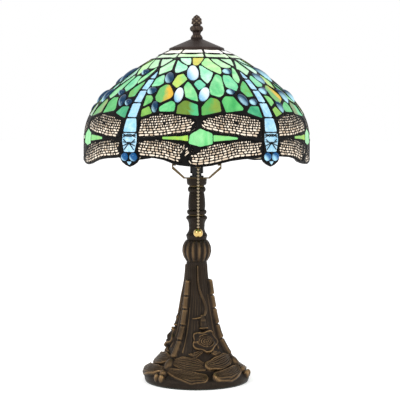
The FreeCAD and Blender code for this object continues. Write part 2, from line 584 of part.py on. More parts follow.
rim = [(-30.5, 195.5), (-20, 197.5), (-11, 205), (0, 207.8), (10, 203), (20, 198.5), (30.5, 196), (31.5, 200.5),
       (36, 208.4), (40.5, 200.5), (41.5, 195.5)]


def all_round(shapes):
    """The fifth's pieces repeated round the shade."""
    count = int(plain(D.sectors))
    copies = []
    for turn in range(count):
        for shape in shapes:
            copy = shape.copy()
            copy.rotate(Vector(), Vector(0, 0, 1), 360 / count * turn)
            copies.append(copy)
    return Part.makeCompound(copies)


glass_thick, front = plain(D.glassThick), plain(D.leadFront)
glass_front = 0.2
holes = []
for name, outlines in panes.items():
    shaped(name, all_round([prism(outline, glass_thick - glass_front, glass_front) for outline in outlines]))
    holes += [prism(outline, 9, 9, plain(D.leadGrip)) for outline in outlines]
for name, gems in jewels.items():
    shaped(name, all_round([jewel(*gem) for gem in gems]))
    holes += [jewel_hole(*gem) for gem in gems]
wing_wall = revolved(130, 214, glass_thick - glass_front, glass_front)
filigree_wall = revolved(130, 214, -glass_front, glass_front + 0.5)
filigree = []
for name, outlines in wings.items():
    blocks = [prism(outline, 14, 14) for outline in outlines]
    shaped(name, all_round([block.common(wing_wall) for block in blocks]))
    filigree += [block.common(filigree_wall) for block in blocks]
    holes += [prism(outline, 14, 14, plain(D.leadGrip)) for outline in outlines]
shaped("wing_filigree", all_round(filigree))
bands = [[(31.9, 165.8), (40.1, 165.8), (40.1, 170.3), (31.9, 170.3)],
         [(32, 175), (40, 175), (39, 181.8), (33, 181.8)]]
shaped("body_filigree", all_round([prism(band, -glass_front - 0.4, glass_front + 0.9) for band in bands]))

below_rim = [[start, end, (end[0] + 0.8, 216), (start[0] - 0.8, 216)] for start, end in zip(rim, rim[1:])]
holes += [prism(outline, 12, 12) for outline in below_rim]
back = plain(D.leadBack)
shell = revolved(0.3, 209, back, front, -36, 72)
fifth = 360 / plain(D.sectors)
reaching = []
for hole in holes:
    for turn in (-fifth, 0, fifth):
        copy = hole.copy()
        copy.rotate(Vector(), Vector(0, 0, 1), turn)
        if copy.distToShape(shell)[0] < 0.01:
            reaching.append(copy)
shaped("lead_came", all_round([shell.cut(reaching)]))

# ---- crown, cap and finial ----

crown = turned("crown_disc", [
    (D.studRadius + 0.4, D.capBottom - 2), (D.crownRadius - 1.6, D.capBottom - 2),
    (D.crownRadius - 1.6, D.capBottom - 0.5), (D.studRadius + 0.4, D.capBottom - 0.5)], keep=False)
vents = []
for index in range(6):
    vent = doc.addObject("Part::Cylinder", f"vent_{index + 1}")
    vent.Radius, vent.Height = 6, 6
    vent.Placement.Base = polar(60 * index, 22, plain(D.capBottom) - 4)
    vents.append(vent)
vent_group = doc.addObject("Part::MultiFuse", "vents")
vent_group.Shapes = vents
crown_plate = doc.addObject("Part::Cut", "crown_plate")
crown_plate.Base, crown_plate.Tool = crown, vent_group
node(crown_plate, "crown_plate")
turned("shade_cap", [
    (D.studRadius + 0.4, D.capTop - 1.6), (7.4, D.capTop - 1.6), (D.capRadius - 3, D.capBottom + 3),
    (D.capRadius - 1.4, D.capBottom), (D.capRadius, D.capBottom), (D.capRadius, D.capBottom + 2.4),
    (D.capRadius - 2, D.capBottom + 4.2, 0.5), (8.7, D.capTop - 1), (8, D.capTop), (D.studRadius + 0.4, D.capTop)])
turned("finial", [
    (D.studRadius + 0.06, D.capTop + 0.3), (8.7, D.capTop + 0.3), (4.9, D.capTop + 6.4, -0.6),
    (9, D.capTop + 13, 0.8), (4.9, D.capTop + 18.4, 0.8), (6.9, D.capTop + 22.4, 0.6),
    (4.2, D.finialTop - 4.4, 0.5), (2.2, D.finialTop - 1.2), (0, D.finialTop), (0, D.capTop + 16), (D.studRadius + 0.06, D.capTop + 14.4)])

# ---- check and write ----

doc.recompute()
faults = [thing.Name for thing in doc.Objects if "Invalid" in thing.State or "Error" in thing.State]
faults += [name for name, thing in nodes.items() if thing.Shape.isNull() or not thing.Shape.isValid()]
if faults:
    raise RuntimeError(f"failed: {faults}")
os.makedirs("parts", exist_ok=True)
for name, thing in nodes.items():
    thing.Shape.exportStep(f"parts/{name}.step")
print(len(nodes), "nodes written")
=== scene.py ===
import bpy
import math
import random
import re
import numpy as np
from mathutils import Vector, Matrix
from mathutils.geometry import delaunay_2d_cdt


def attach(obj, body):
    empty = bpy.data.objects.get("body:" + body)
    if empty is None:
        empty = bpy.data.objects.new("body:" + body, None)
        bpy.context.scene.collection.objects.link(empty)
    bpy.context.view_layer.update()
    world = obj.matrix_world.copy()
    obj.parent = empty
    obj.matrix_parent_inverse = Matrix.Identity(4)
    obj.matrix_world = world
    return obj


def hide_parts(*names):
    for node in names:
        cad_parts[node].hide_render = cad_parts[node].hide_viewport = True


for starter in ("Cube", "Light", "Camera"):
    if starter in bpy.data.objects:
        bpy.data.objects.remove(bpy.data.objects[starter])
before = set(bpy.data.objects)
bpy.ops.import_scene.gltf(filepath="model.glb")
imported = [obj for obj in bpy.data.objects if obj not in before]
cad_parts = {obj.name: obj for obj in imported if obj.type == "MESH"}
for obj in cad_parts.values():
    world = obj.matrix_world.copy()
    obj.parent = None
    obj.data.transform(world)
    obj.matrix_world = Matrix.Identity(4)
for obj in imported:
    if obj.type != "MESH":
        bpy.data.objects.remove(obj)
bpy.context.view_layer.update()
bpy.ops.object.select_all(action="DESELECT")
random.seed(7)
mm = 0.001
print("frame loaded")


class Value:
    # a shader socket that can be used in sums and products
    def __init__(self, shader, socket):
        self.shader, self.socket = shader, socket

    def math(self, operation, a, b=0.0):
        return self.shader.node("ShaderNodeMath", {"operation": operation}, {0: a, 1: b})

    def __add__(self, other):
        return self.math("ADD", self, other)

    def __radd__(self, other):
        return self.math("ADD", other, self)

    def __sub__(self, other):
        return self.math("SUBTRACT", self, other)

    def __rsub__(self, other):
        return self.math("SUBTRACT", other, self)

    def __mul__(self, other):
        return self.math("MULTIPLY", self, other)

    def __rmul__(self, other):
        return self.math("MULTIPLY", other, self)


class Shader:
    # a material, its nodes and its principled surface
    def __init__(self, name, **surface):
        self.material = bpy.data.materials.new(name)
        self.material.use_nodes = True
        self.tree = self.material.node_tree
        self.surface = self.tree.nodes["Principled BSDF"]
        self.set(**surface)

    def node(self, kind, settings=None, inputs=None, output=0):
        made = self.tree.nodes.new(kind)
        for name, setting in (settings or {}).items():
            if name == "stops":
                ramp = made.color_ramp
                while len(ramp.elements) < len(setting):
                    ramp.elements.new(0.5)
                for element, (place, colour) in zip(ramp.elements, setting):
                    element.position, element.color = place, (*colour, 1)
            else:
                setattr(made, name, setting)
        for name, value in (inputs or {}).items():
            self.feed(made.inputs[name], value)
        return Value(self, made.outputs[output])

    def feed(self, socket, value):
        if isinstance(value, Value):
            self.tree.links.new(value.socket, socket)
        elif isinstance(value, tuple) and socket.type != "VECTOR":
            socket.default_value = (*value, 1)
        else:
            socket.default_value = value

    def set(self, **surface):
        for name, value in surface.items():
            words = re.sub(r"(?<=[a-z])(?=[A-Z])|(?<=[A-Z])(?=[A-Z][a-z])", " ", name)
            self.feed(self.surface.inputs[words[0].upper() + words[1:]], value)

    def place(self, scale=(1, 1, 1)):
        where = self.node("ShaderNodeTexCoord", output=3)
        return self.node("ShaderNodeMapping", None, {"Vector": where, "Scale": scale})

    def noise(self, scale, detail=3.0, stretch=(1, 1, 1), distortion=0.0, rough=0.55):
        return self.node("ShaderNodeTexNoise", None, {"Vector": self.place(stretch), "Scale": scale,
                         "Detail": detail, "Roughness": rough, "Distortion": distortion})

    def attribute(self, name, output=0):
        return self.node("ShaderNodeAttribute", {"attribute_name": name}, output=output)

    def mix(self, factor, a, b, blend="MIX"):
        made = self.tree.nodes.new("ShaderNodeMix")
        made.data_type, made.blend_type = "RGBA", blend
        self.feed(made.inputs["Factor"], factor)
        self.feed(made.inputs[6], a)
        self.feed(made.inputs[7], b)
        return Value(self, made.outputs[2])

    def ramp(self, value, *stops):
        return self.node("ShaderNodeValToRGB", {"stops": stops}, {0: value})

    def bump(self, height, distance, strength=1.0):
        inputs = {"Height": height, "Distance": distance, "Strength": strength}
        self.set(normal=self.node("ShaderNodeBump", None, inputs))


def bronzeFinish(name, dark, mid, rubbed):
    # dark patina; the attribute "rub" brings the high places out
    s = Shader(name, metallic=0.85, roughness=0.42)
    cloud = s.noise(55, 5)
    fine = s.noise(420, 3)
    rub = s.attribute("rub", 2)
    bright = s.node("ShaderNodeMath", {"operation": "MULTIPLY", "use_clamp": True},
                    {0: rub, 1: 0.35 + cloud * 0.9})
    s.set(baseColor=s.mix(bright, s.mix(cloud, dark, mid), rubbed),
          roughness=0.62 - rub * 0.22 - cloud * 0.15)
    s.bump(fine, 0.0004, 0.5)
    return s.material


def plainMetal(name, colour, deep, roughness, metallic=1.0, grain=300, wear=0.5, gloss=0.5):
    # cast or drawn metal with cloudy tarnish
    s = Shader(name, metallic=metallic, specularIORLevel=gloss)
    cloud = s.noise(90, 4)
    s.set(baseColor=s.mix(cloud * wear, colour, deep), roughness=roughness + cloud * 0.18 - 0.09)
    s.bump(s.noise(grain, 2), 0.0002, 0.35)
    return s.material


def opalGlass(name, glow, streak=(1, 1, 0.25), scale=70, rough=0.1, ripple=0.0004):
    # lit opalescent sheet: streaks of a second tint, on one side where "lean" says so, and a glow from behind
    s = Shader(name, roughness=rough, coatWeight=0.12, coatRoughness=0.05, specularIORLevel=0.25)
    swirl = s.noise(scale, 4, streak, 0.9)
    cloud = s.noise(scale * 2.4, 3, (1, 1, 0.6), 0.4)
    spread = s.ramp(swirl, (0.36, (0, 0, 0)), (0.66, (1, 1, 1)))
    beside = s.ramp(s.attribute("side", 2) + (swirl - 0.5) * 0.9, (0.42, (0, 0, 0)), (0.72, (1, 1, 1)))
    tint = s.mix(s.mix(s.attribute("lean", 2), spread, beside), s.attribute("tint"), s.attribute("streak"))
    tint = s.mix(0.3, tint, s.ramp(cloud, (0.3, (0.5, 0.5, 0.5)), (0.72, (1, 1, 1))), "MULTIPLY")
    s.set(baseColor=tint, emissionColor=tint, emissionStrength=glow)
    s.bump(s.noise(scale * 1.7, 2, (1, 1, 0.4), 0.6), ripple, 0.6)
    return s.material


def jewelGlass(name, glow):
    # pressed glass: the attribute "tint" carries the body colour, "streak" the tint of a painted light
    # crescent on one side, "side" where it lies; the emission is a painted glow standing in for light from
    # behind
    s = Shader(name, roughness=0.06, coatWeight=0.1, coatRoughness=0.02, specularIORLevel=0.2)
    swirl = s.noise(130, 3, (1, 1, 0.5), 1.2)
    tint = s.mix(s.attribute("side", 2), s.attribute("tint"), s.attribute("streak"))
    tint = s.mix(0.4, tint, s.ramp(swirl, (0.3, (0.5, 0.58, 0.66)), (0.7, (1, 1, 1))), "MULTIPLY")
    s.set(baseColor=tint, emissionColor=tint, emissionStrength=glow)
    return s.material


def solderFinish():
    s = Shader("blackened solder", metallic=0.0, specularIORLevel=0.07)
    cloud = s.noise(160, 4)
    s.set(baseColor=s.mix(cloud, (0.001, 0.001, 0.0012), (0.007, 0.0065, 0.0065)),
          roughness=0.3 + cloud * 0.3)
    s.bump(s.noise(240, 3), 0.0006, 0.55)
    return s.material


finishes = {
    "lead": solderFinish(),
    "sheet": opalGlass("streaky opal glass", 0.10),
    "cream": opalGlass("cream wing glass", 0.20, (1, 1, 1), 260, 0.22, 0.0002),
    "blue": opalGlass("pale blue opal glass", 0.12, (1, 1, 1), 150, 0.12, 0.0003),
    "jewel": jewelGlass("pressed jewel glass", 0.16),
    "bronze": bronzeFinish("dark bronze", (0.010, 0.0075, 0.0055), (0.034, 0.024, 0.017),
                           (0.29, 0.175, 0.078)),
    "cap": bronzeFinish("brown bronze", (0.022, 0.015, 0.013), (0.06, 0.042, 0.036), (0.34, 0.25, 0.16)),
    "brass": plainMetal("bright brass", (0.66, 0.47, 0.17), (0.42, 0.27, 0.09), 0.12),
    "chain": plainMetal("aged brass", (0.44, 0.36, 0.25), (0.14, 0.10, 0.06), 0.3),
    "antique": plainMetal("antique brass", (0.17, 0.12, 0.06), (0.06, 0.042, 0.022), 0.34),
    "dull": plainMetal("dulled brass", (0.10, 0.072, 0.034), (0.04, 0.03, 0.015), 0.5),
    "black": plainMetal("black lacquer", (0.004, 0.004, 0.005), (0.014, 0.013, 0.012), 0.26, 0.0, gloss=0.25),
    "steel": plainMetal("zinc plate", (0.62, 0.62, 0.60), (0.42, 0.41, 0.38), 0.3),
    "iron": plainMetal("raw cast iron", (0.06, 0.058, 0.056), (0.10, 0.07, 0.05), 0.6, 0.8, 180),
    "phenolic": plainMetal("moulded phenolic", (0.02, 0.017, 0.015), (0.035, 0.028, 0.022), 0.4, 0.0, 400),
}


def feltFinish():
    s = Shader("felt", roughness=0.96, sheenWeight=0.4)
    s.set(baseColor=s.mix(s.noise(700, 4), (0.012, 0.016, 0.013), (0.04, 0.05, 0.042)))
    s.bump(s.noise(900, 3), 0.0005, 0.8)
    return s.material


def bulbFinish():
    s = Shader("frosted bulb", roughness=0.35)
    warm = s.mix(s.noise(40, 2), (1.0, 0.93, 0.8), (1.0, 0.97, 0.9))
    s.set(baseColor=warm, emissionColor=warm, emissionStrength=1.2)
    return s.material


finishes["felt"], finishes["bulb"] = feltFinish(), bulbFinish()
nodeFinish = {
    "steel": ["bottom_cover_plate", "threaded_rod", "rod_nut", "lock_washer", "housing_nut", "screw_shell"],
    "iron": ["ballast_ring"], "felt": ["felt_pad"], "bulb": ["bulb_glass"],
    "phenolic": ["socket_insulator", "cord_grommet"],
    "black": ["neck_tube", "switch_housing", "lampholder_shell", "saddle_washer", "neck_nut"],
    "bronze": ["lower_baluster", "column_ring", "upper_baluster", "collar_ring", "socket_cup"],
    "cap": ["shade_cap"], "chain": ["pull_chain", "chain_top"], "brass": ["pull_ball"],
    "antique": ["harp_saddle", "harp_bow", "harp_ferrules", "harp_top_stud", "crown_plate", "chain_guide",
                "pull_lever", "centre_contact", "bulb_base"],
    "dull": ["lower_check_ring", "upper_check_ring"],
}
for finish, names in nodeFinish.items():
    for name in names:
        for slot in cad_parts[name].material_slots:
            slot.material = finishes[finish]
print("finishes made")


def piece(name, verts, faces, finish, body, slot, replaces, smooth=True):
    # one named mesh that rides on a body and stands for the nodes it replaces
    mesh = bpy.data.meshes.new(name)
    mesh.from_pydata([tuple(v) for v in verts], [], faces)
    mesh.validate()
    mesh.update()
    mesh.materials.append(finishes[finish])
    mesh.polygons.foreach_set("use_smooth", [smooth] * len(mesh.polygons))
    made = bpy.data.objects.new(name, mesh)
    bpy.context.collection.objects.link(made)
    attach(made, body)
    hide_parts(*replaces)
    return made


def colourBy(made, **layers):
    # a number or a colour for each vertex, as named attributes
    for name, values in layers.items():
        if isinstance(values[0], tuple):
            layer = made.data.attributes.new(name, "FLOAT_COLOR", "POINT")
            layer.data.foreach_set("color", [part for colour in values for part in (*colour, 1.0)])
        else:
            layer = made.data.attributes.new(name, "FLOAT", "POINT")
            layer.data.foreach_set("value", values)


def castGrid(outline, rows, columns):
    # an even grid over a turned profile: where each point stands and which way is out
    line = np.array(outline, float)
    run = np.concatenate([[0], np.cumsum(np.hypot(*np.diff(line, axis=0).T))])
    s = np.linspace(0, run[-1], rows)
    r, z = np.interp(s, run, line[:, 0]), np.interp(s, run, line[:, 1])
    for _ in range(3):
        r[1:-1] = (r[:-2] + 2 * r[1:-1] + r[2:]) / 4
        z[1:-1] = (z[:-2] + 2 * z[1:-1] + z[2:]) / 4
    dr, dz = np.gradient(r), np.gradient(z)
    size = np.hypot(dr, dz)
    theta = np.linspace(-180, 180, columns, endpoint=False)
    return {"s": s, "r": r, "z": z, "out": np.stack([dz / size, -dr / size], 1), "theta": theta}


def castPiece(name, grid, relief, finish, body, slot, replaces, rub, worn=0.0, topClosed=False):
    # the grid with its relief as a mesh; "rub" is how strongly high places are rubbed bright
    rows, columns = relief.shape
    r = grid["r"][:, None] + grid["out"][:, :1] * relief
    z = grid["z"][:, None] + grid["out"][:, 1:] * relief
    turn = np.radians(grid["theta"])[None]
    verts = np.stack([r * np.sin(turn), -r * np.cos(turn), z], 2).reshape(-1, 3) * mm
    faces = [(row + k, row + (k + 1) % columns, row + columns + (k + 1) % columns, row + columns + k)
             for row in range(0, (rows - 1) * columns, columns) for k in range(columns)]
    if topClosed:
        faces.append(list(range((rows - 1) * columns, rows * columns)))
    soft = relief.copy()
    for _ in range(6):
        soft = (soft + np.roll(soft, 1, 1) + np.roll(soft, -1, 1)) / 3
        soft[1:-1] = (soft[:-2] + soft[1:-1] + soft[2:]) / 3
    high = (relief - soft) * rub + worn
    made = piece(name, verts, faces, finish, body, slot, replaces)
    colourBy(made, rub=high.ravel().clip(0, 1).tolist())


def rounded(points):
    # a bent line eased into a curve, its ends kept
    for _ in range(2):
        cut = [points[0]]
        for a, b in zip(points, points[1:]):
            cut += [tuple(p + (q - p) * part for p, q in zip(a, b)) for part in (0.25, 0.75)]
        points = cut + [points[-1]]
    return points


def upTo(grid, z):
    # how far along the profile a height is
    return float(np.interp(z, grid["z"], grid["s"]))


def offset(grid, angle, run):
    # how far every grid point is from one place, round and up, in mm
    u = np.radians((grid["theta"][None] - angle + 180) % 360 - 180) * grid["r"][:, None]
    return u, grid["s"][:, None] - run + 0 * u


def strips(grid, angle, line):
    # for each run of a line: how many half widths off each point is, how far along, the width and rise
    placed = [(angle + a, upTo(grid, z), *more) for a, z, *more in line]
    for (a0, s0, *first), (a1, s1, *last) in zip(placed, placed[1:]):
        x, y = offset(grid, a0, s0)
        dx, dy = np.radians(a1 - a0) * grid["r"][:, None], s1 - s0
        t = np.clip((x * dx + y * dy) / (dx * dx + dy * dy + 1e-9), 0, 1)
        wide, *rise = (p + (q - p) * t for p, q in zip(first, last))
        yield np.hypot(x - t * dx, y - t * dy) / wide, t, wide, rise


def strand(grid, angle, line, height):
    # a round strand laid on the casting; line holds (degrees, z, half width)
    out = np.zeros((len(grid["s"]), len(grid["theta"])))
    for part, _, wide, _ in strips(grid, angle, line):
        out = np.maximum(out, height * wide / wide.max() * np.sqrt(np.clip(1 - part ** 2, 0, 1)))
    return out


def plate(grid, angle, line, height, grain):
    # a flat wing with a raised edge and grain along it; line holds (degrees, z, half width, rise)
    out = np.zeros((len(grid["s"]), len(grid["theta"])))
    best, along = out + 9, out
    for n, (part, t, _, (rise,)) in enumerate(strips(grid, angle, line)):
        closer = part < best
        along = np.where(closer, n + t, along)
        out = np.where(closer, height + rise, out)
        best = np.minimum(best, part)
    edge = np.clip((1 - best) / 0.16, 0, 1) ** 0.5
    ridge = np.exp(-((best - 0.86) / 0.09) ** 2) * 0.8
    lines = np.sin(best * grain + 1.1 * np.sin(along * 3.3)) * 0.85 * (best < 0.8)
    return np.where(best < 1, (out + ridge + lines) * edge, 0)


def blob(grid, angle, z, across, up, height):
    u, v = offset(grid, angle, upTo(grid, z))
    return height * np.sqrt(np.clip(1 - (u / across) ** 2 - (v / up) ** 2, 0, 1))


dragonfly = {  # degrees from its middle, mm up, half width and, on a wing, rise
    "tail": [(3, 138, 2.9), (3, 119, 3.2), (3, 100, 3.5), (3, 78, 3.7), (2, 58, 3.9), (1, 38, 4.2)],
    "tailHeight": 6.6, "joints": (118.7, 100.4, 78, 58),
    "lumps": [(0, 27, 6.6, 11, 7.2), (0, 16, 5.4, 6.0, 6.4), (-3.6, 10.5, 4.3, 5.0, 7.4),
              (3.6, 10.5, 4.3, 5.0, 7.4)],
    "under": [([(6, 31, 5, 0), (22, 31, 10, 0), (42, 29, 11, 0), (55, 27, 7, 0)], 2.4, 23),
              ([(6, 20, 4.5, 0), (22, 17.5, 9, 0), (40, 14.5, 11.5, 0), (52, 14, 8, 0)], 2.9, 25)],
    "over": [([(-7, 34, 5, 0), (-22, 32, 10.5, 1), (-42, 28.5, 11.5, 2.2), (-55, 27, 8, 2.6)], 3.2, 23),
             ([(-7, 20, 4.5, 0), (-18, 17, 9.5, 1), (-36, 14.5, 11, 1.8), (-49, 14, 8, 2.2)], 3.7, 25)],
}


def dragonflyRelief(grid, angle):
    # a jointed tail down the trunk, thorax, head, two eyes at the foot's edge, and two pairs of wings
    tail = strand(grid, angle, dragonfly["tail"], dragonfly["tailHeight"])
    for z in dragonfly["joints"]:
        tail *= 1 - 0.42 * np.exp(-((grid["s"][:, None] - upTo(grid, z)) / 1.1) ** 2)
    lumps = [blob(grid, angle + a, *size) for a, *size in dragonfly["lumps"]]
    under, over = (np.maximum(*(plate(grid, angle, *wing) for wing in dragonfly[side]))
                   for side in ("under", "over"))
    return np.maximum.reduce([tail, *lumps, np.where(over > 0.4, over, under)])


rose = {  # its strands are each a line of (degrees, mm up, half width) and a height
    "middle": 57.5, "edge": 17.4, "heart": 9.5,
    "leaves": [[(-8, 46, 2, 0), (-22, 41, 4.2, 0), (-33, 42, 1, 0)],
               [(8, 45, 2, 0), (20, 41, 4.0, 0), (30, 42, 1, 0)]],
    "strands": [
        ([(-2, 92, 2.8), (0, 86, 4.0), (0, 76, 4.8)], 5.2),  # cut branch
        ([(-10, 75.5, 1.3), (9, 75.5, 1.4)], 6.0),  # its lip
        (rounded([(-15, 160, 0.9), (-14.5, 150, 1.1), (-13, 135, 1.5), (-3, 122, 1.9), (9, 112, 2.2),
                  (15.5, 102, 2.5), (9, 94, 2.3), (-4, 90.5, 1.8), (-20, 89, 1.1),
                  (-37, 88, 0.2)]), 3.6),  # stem
        ([(-45, 103, 0.8), (-46, 76, 1.2), (-48, 44, 1.3)], 1.6),  # twigs
        ([(33, 120, 0.8), (34, 84, 1.3), (32, 48, 1.5)], 1.7)],
}


def roseRelief(grid, angle):
    # an open rose with a spiral heart, its leaves, a cut branch over it and a stem up to the knop
    u, v = offset(grid, angle, upTo(grid, rose["middle"]))
    far, way = np.hypot(u, v * 1.08), np.arctan2(v, u)
    turns = far / 2.5 - way / (2 * math.pi)
    spiral = (turns - np.floor(turns)) * 2.2
    petals = np.maximum(0, np.cos(way * 2.5 + far * 0.16)) ** 0.6 * 2.6
    petals = petals + 0.9 * np.exp(-((far - 9.8) / 0.9) ** 2)
    cup = 4.6 + 3.4 * np.exp(-(far / 7) ** 2) + np.where(far < rose["heart"], spiral, petals)
    edge = rose["edge"] + 1.8 * np.cos(way * 5 + 0.7)
    rim = np.exp(-((far - edge + 1.6) / 1.3) ** 2) * 0.9
    bloom = np.where(far < edge, (cup + rim) * np.clip((edge - far) / 1.6, 0, 1) ** 0.5, 0)
    leaves = [plate(grid, angle, leaf, 2.6, 9) for leaf in rose["leaves"]]
    return np.maximum.reduce([bloom, *leaves, *(strand(grid, angle, *line) for line in rose["strands"])])


base = {"rows": 236, "columns": 396, "dragonflyAt": -45, "roseAt": 19.5, "rub": 0.62, "rough": 0.11,
        "wornTail": [(-42, 138, 2.4), (-42, 119, 2.4), (-42, 100, 2.4), (-42, 78, 2.2)],
        "outline": [(71.5, 1.4), (72.5, 2.4), (72.5, 8), (70.5, 11.5), (66, 14), (60, 18), (54, 24), (47, 32),
                    (40, 43), (34, 54), (29, 67), (25.5, 80), (22.5, 95), (20, 110), (17.8, 125), (16, 140),
                    (14.8, 152), (14, 165)]}


def buildBase():
    grid = castGrid(base["outline"], base["rows"], base["columns"])
    theta, s, z = np.radians(grid["theta"])[None], grid["s"][:, None], grid["z"][:, None]
    bark = np.abs(np.sin(theta * 16 + 0.5 * np.sin(s / 13) + 0.9 * np.sin(theta * 5)))
    bark = (bark + 0.5 * np.abs(np.sin(theta * 29 + s / 17))) * 0.62 - 0.5
    relief = worn = np.zeros(bark.shape)
    for turn in (0, 120, 240):
        fly, bloom = turn + base["dragonflyAt"], turn + base["roseAt"]
        relief = np.maximum.reduce([relief, dragonflyRelief(grid, fly), roseRelief(grid, bloom)])
        worn = np.maximum(worn, strand(grid, turn, base["wornTail"], 0.36))
        worn = worn - blob(grid, bloom, rose["middle"], 19, 19, 0.45) - blob(grid, fly, 12, 12, 12, 0.3)
    relief = np.where(relief > 0.3, relief, np.maximum(relief, 0) + bark * np.clip((z - 30) / 30, 0, 1))
    relief *= np.clip(s / 9 - 0.35, 0, 1) * np.clip((s[-1] - s) / 6, 0, 1)
    rough = np.array([[random.uniform(-1, 1) for _ in grid["theta"]] for _ in grid["s"]])
    relief += rough * base["rough"] * np.clip(1.4 - np.abs(z - 8) / 14, 0.25, 1)
    castPiece("sculpted_base", grid, relief, "bronze", "stand", "bronze_casting", ["base_casting"],
              base["rub"], worn)


knop = {"ribs": 14, "deep": 2.0, "low": 165, "high": 195, "outline": [
    (10, 165), (14.2, 165), (15.5, 167), (18.5, 172), (20.2, 179), (19.6, 186), (17, 192), (14.4, 195),
    (10, 195)]}


def buildKnop():
    grid = castGrid(knop["outline"], 70, 336)
    theta, z = np.radians(grid["theta"])[None], grid["z"][:, None]
    ribs = np.abs(np.sin(theta * knop["ribs"] / 2 + 0.3)) ** 0.6
    inside = np.clip((z - knop["low"] - 0.4) / 3, 0, 1) * np.clip((knop["high"] - 0.4 - z) / 3, 0, 1)
    worn = ribs ** 9 * np.exp(-((z - 179) / 11) ** 2) * 0.55
    castPiece("gadrooned_knop", grid, (ribs - 1) * knop["deep"] * inside, "bronze", "stand", "bronze_casting",
              ["ribbed_knop"], 0.2, worn)


bud = {"middle": 484, "tip": 489, "outline": [
    (3.1, 470.9), (8.7, 470.9), (7.2, 473), (5.2, 476.6), (6.2, 479.2), (8.4, 481.6), (9.1, 484.4),
    (7.8, 487),
    (5.2, 488.9), (6.4, 490.8), (6.9, 493), (6.2, 496), (4.4, 499.2), (2.4, 501.6), (0.15, 503)]}


def buildFinial():
    grid = castGrid(bud["outline"], 120, 132)
    theta, z = np.radians(grid["theta"])[None], grid["z"][:, None]
    belly = np.exp(-((z - bud["middle"]) / 5) ** 4)
    tip = np.clip((z - bud["tip"]) / 2, 0, 1) * np.clip((502.4 - z) / 3, 0, 1)
    leaves = np.abs(np.sin(theta * 3.5 + np.clip(z - 478, 0, 12) * 0.13)) ** 0.7 * belly
    scales = np.abs(np.sin(theta * 3 + z * 0.55) * np.sin(theta * 3 - z * 0.55)) * tip
    collar = np.abs(np.sin(theta * 8)) * np.exp(-((z - 473.6) / 1.6) ** 2) * 0.5
    relief = (leaves - 0.6) * 1.1 * belly + scales * 1.3 - 0.3 * tip + collar
    castPiece("bud_finial", grid, relief, "cap", "finial", "bronze_cap", ["finial"], 2.0, topClosed=True)


buildBase()
buildKnop()
buildFinial()
print("castings made")


# the shade's surface: arcs that follow on smoothly, each with its length in mm and how far it bends
dome = {"crownRadius": 38.5, "crownHeight": 454.0, "crownLean": 25.8, "turn": 2.3, "sectors": 5,
        "arcs": [(100, 16.7), (35, 15.0), (30, 27.0), (50, 11.0)]}
fifth = 360 / dome["sectors"]


def profile(along, rise=0.0):
    # radius, height and lean of the dome, so many mm down from the crown
    radius, height, lean = dome["crownRadius"], dome["crownHeight"], math.radians(dome["crownLean"])
    for length, bend in dome["arcs"]:
        rate = math.radians(bend) / length
        run = min(along, length)
        after = lean + rate * run
        radius += (math.sin(after) - math.sin(lean)) / rate
        height += (math.cos(after) - math.cos(lean)) / rate
        lean, along = after, along - run
        if along <= 0:
            break
    return radius + rise * math.sin(lean), height + rise * math.cos(lean), lean


def polar(angle, radius, height):
    turn = math.radians(angle)
    return Vector((radius * math.sin(turn), -radius * math.cos(turn), height)) * mm


def onShade(angle, along, rise=0.0):
    return polar(angle + dome["turn"], *profile(along, rise)[:2])


def outward(angle, along):
    lean = profile(along)[2]
    return polar(angle + dome["turn"], math.sin(lean), math.cos(lean)).normalized()


def degreeAt(along):
    # how many mm one degree is
    return profile(along)[0] * math.radians(1)


def apart(here, there):
    return math.hypot((there[0] - here[0]) * degreeAt(here[1]), there[1] - here[1])


def between(here, there, t):
    return here[0] + (there[0] - here[0]) * t, here[1] + (there[1] - here[1]) * t


def middleOf(outline):
    return sum(p[0] for p in outline) / len(outline), sum(p[1] for p in outline) / len(outline)


def pairs(loop):
    return list(zip(loop, loop[1:] + loop[:1]))


def corners(loop):
    return zip(loop[-1:] + loop[:-1], loop, loop[1:] + loop[:1])


def areaOf(loop):
    return sum(a[0] * b[1] - b[0] * a[1] for a, b in pairs(loop)) / 2


def anticlockwise(loop):
    return loop if areaOf(loop) > 0 else loop[::-1]


def soften(outline, cut=0.9):
    # corners rounded a little, as solder fills them
    out = []
    for before, here, after in corners(outline):
        out += [between(here, other, min(0.3, cut / max(apart(here, other), 0.01)))
                for other in (before, after)]
    return out


growth = {"body_glass": -0.3, "crown_cream_glass": -0.1, "crown_mint_glass": -0.1, "others": 0.6}  # mm


def grown(outline, name):
    # every side of an outline moved outwards, to leave a narrower lead between the panes
    wide = degreeAt(middleOf(outline)[1])
    loop = [Vector((a * wide, s)) for a, s in outline]
    by = growth.get(name, growth["others"]) * (1 if areaOf(loop) > 0 else -1)
    out = []
    for before, here, after in corners(loop):
        first, second = (here - before).normalized(), (after - here).normalized()
        side = Vector((first.y + second.y, -first.x - second.x))
        moved = here + side * (by / max(0.5, side.length_squared / 2))
        out.append((moved.x / wide, moved.y))
    return out


def fine(outline, step=3.2):
    # long sides divided so that they follow the dome
    out = []
    for here, after in pairs(outline):
        parts = max(1, round(apart(here, after) / step))
        out += [between(here, after, k / parts) for k in range(parts)]
    return out


def ovalOutline(angle, along, width, length, tilt, count=22):
    wide, lean = degreeAt(along), math.radians(tilt)
    out = []
    for k in range(count):
        t = 2 * math.pi * k / count
        u, v = width / 2 * math.cos(t), -length / 2 * math.sin(t)
        out.append((angle + (u * math.cos(lean) + v * math.sin(lean)) / wide,
                    along + v * math.cos(lean) - u * math.sin(lean)))
    return out


def linear(*parts):
    # a colour as a painter reads it, 0 to 255, made linear
    return tuple((p / 255 / 12.92) if p < 10.3 else ((p / 255 + 0.055) / 1.055) ** 2.4 for p in parts)


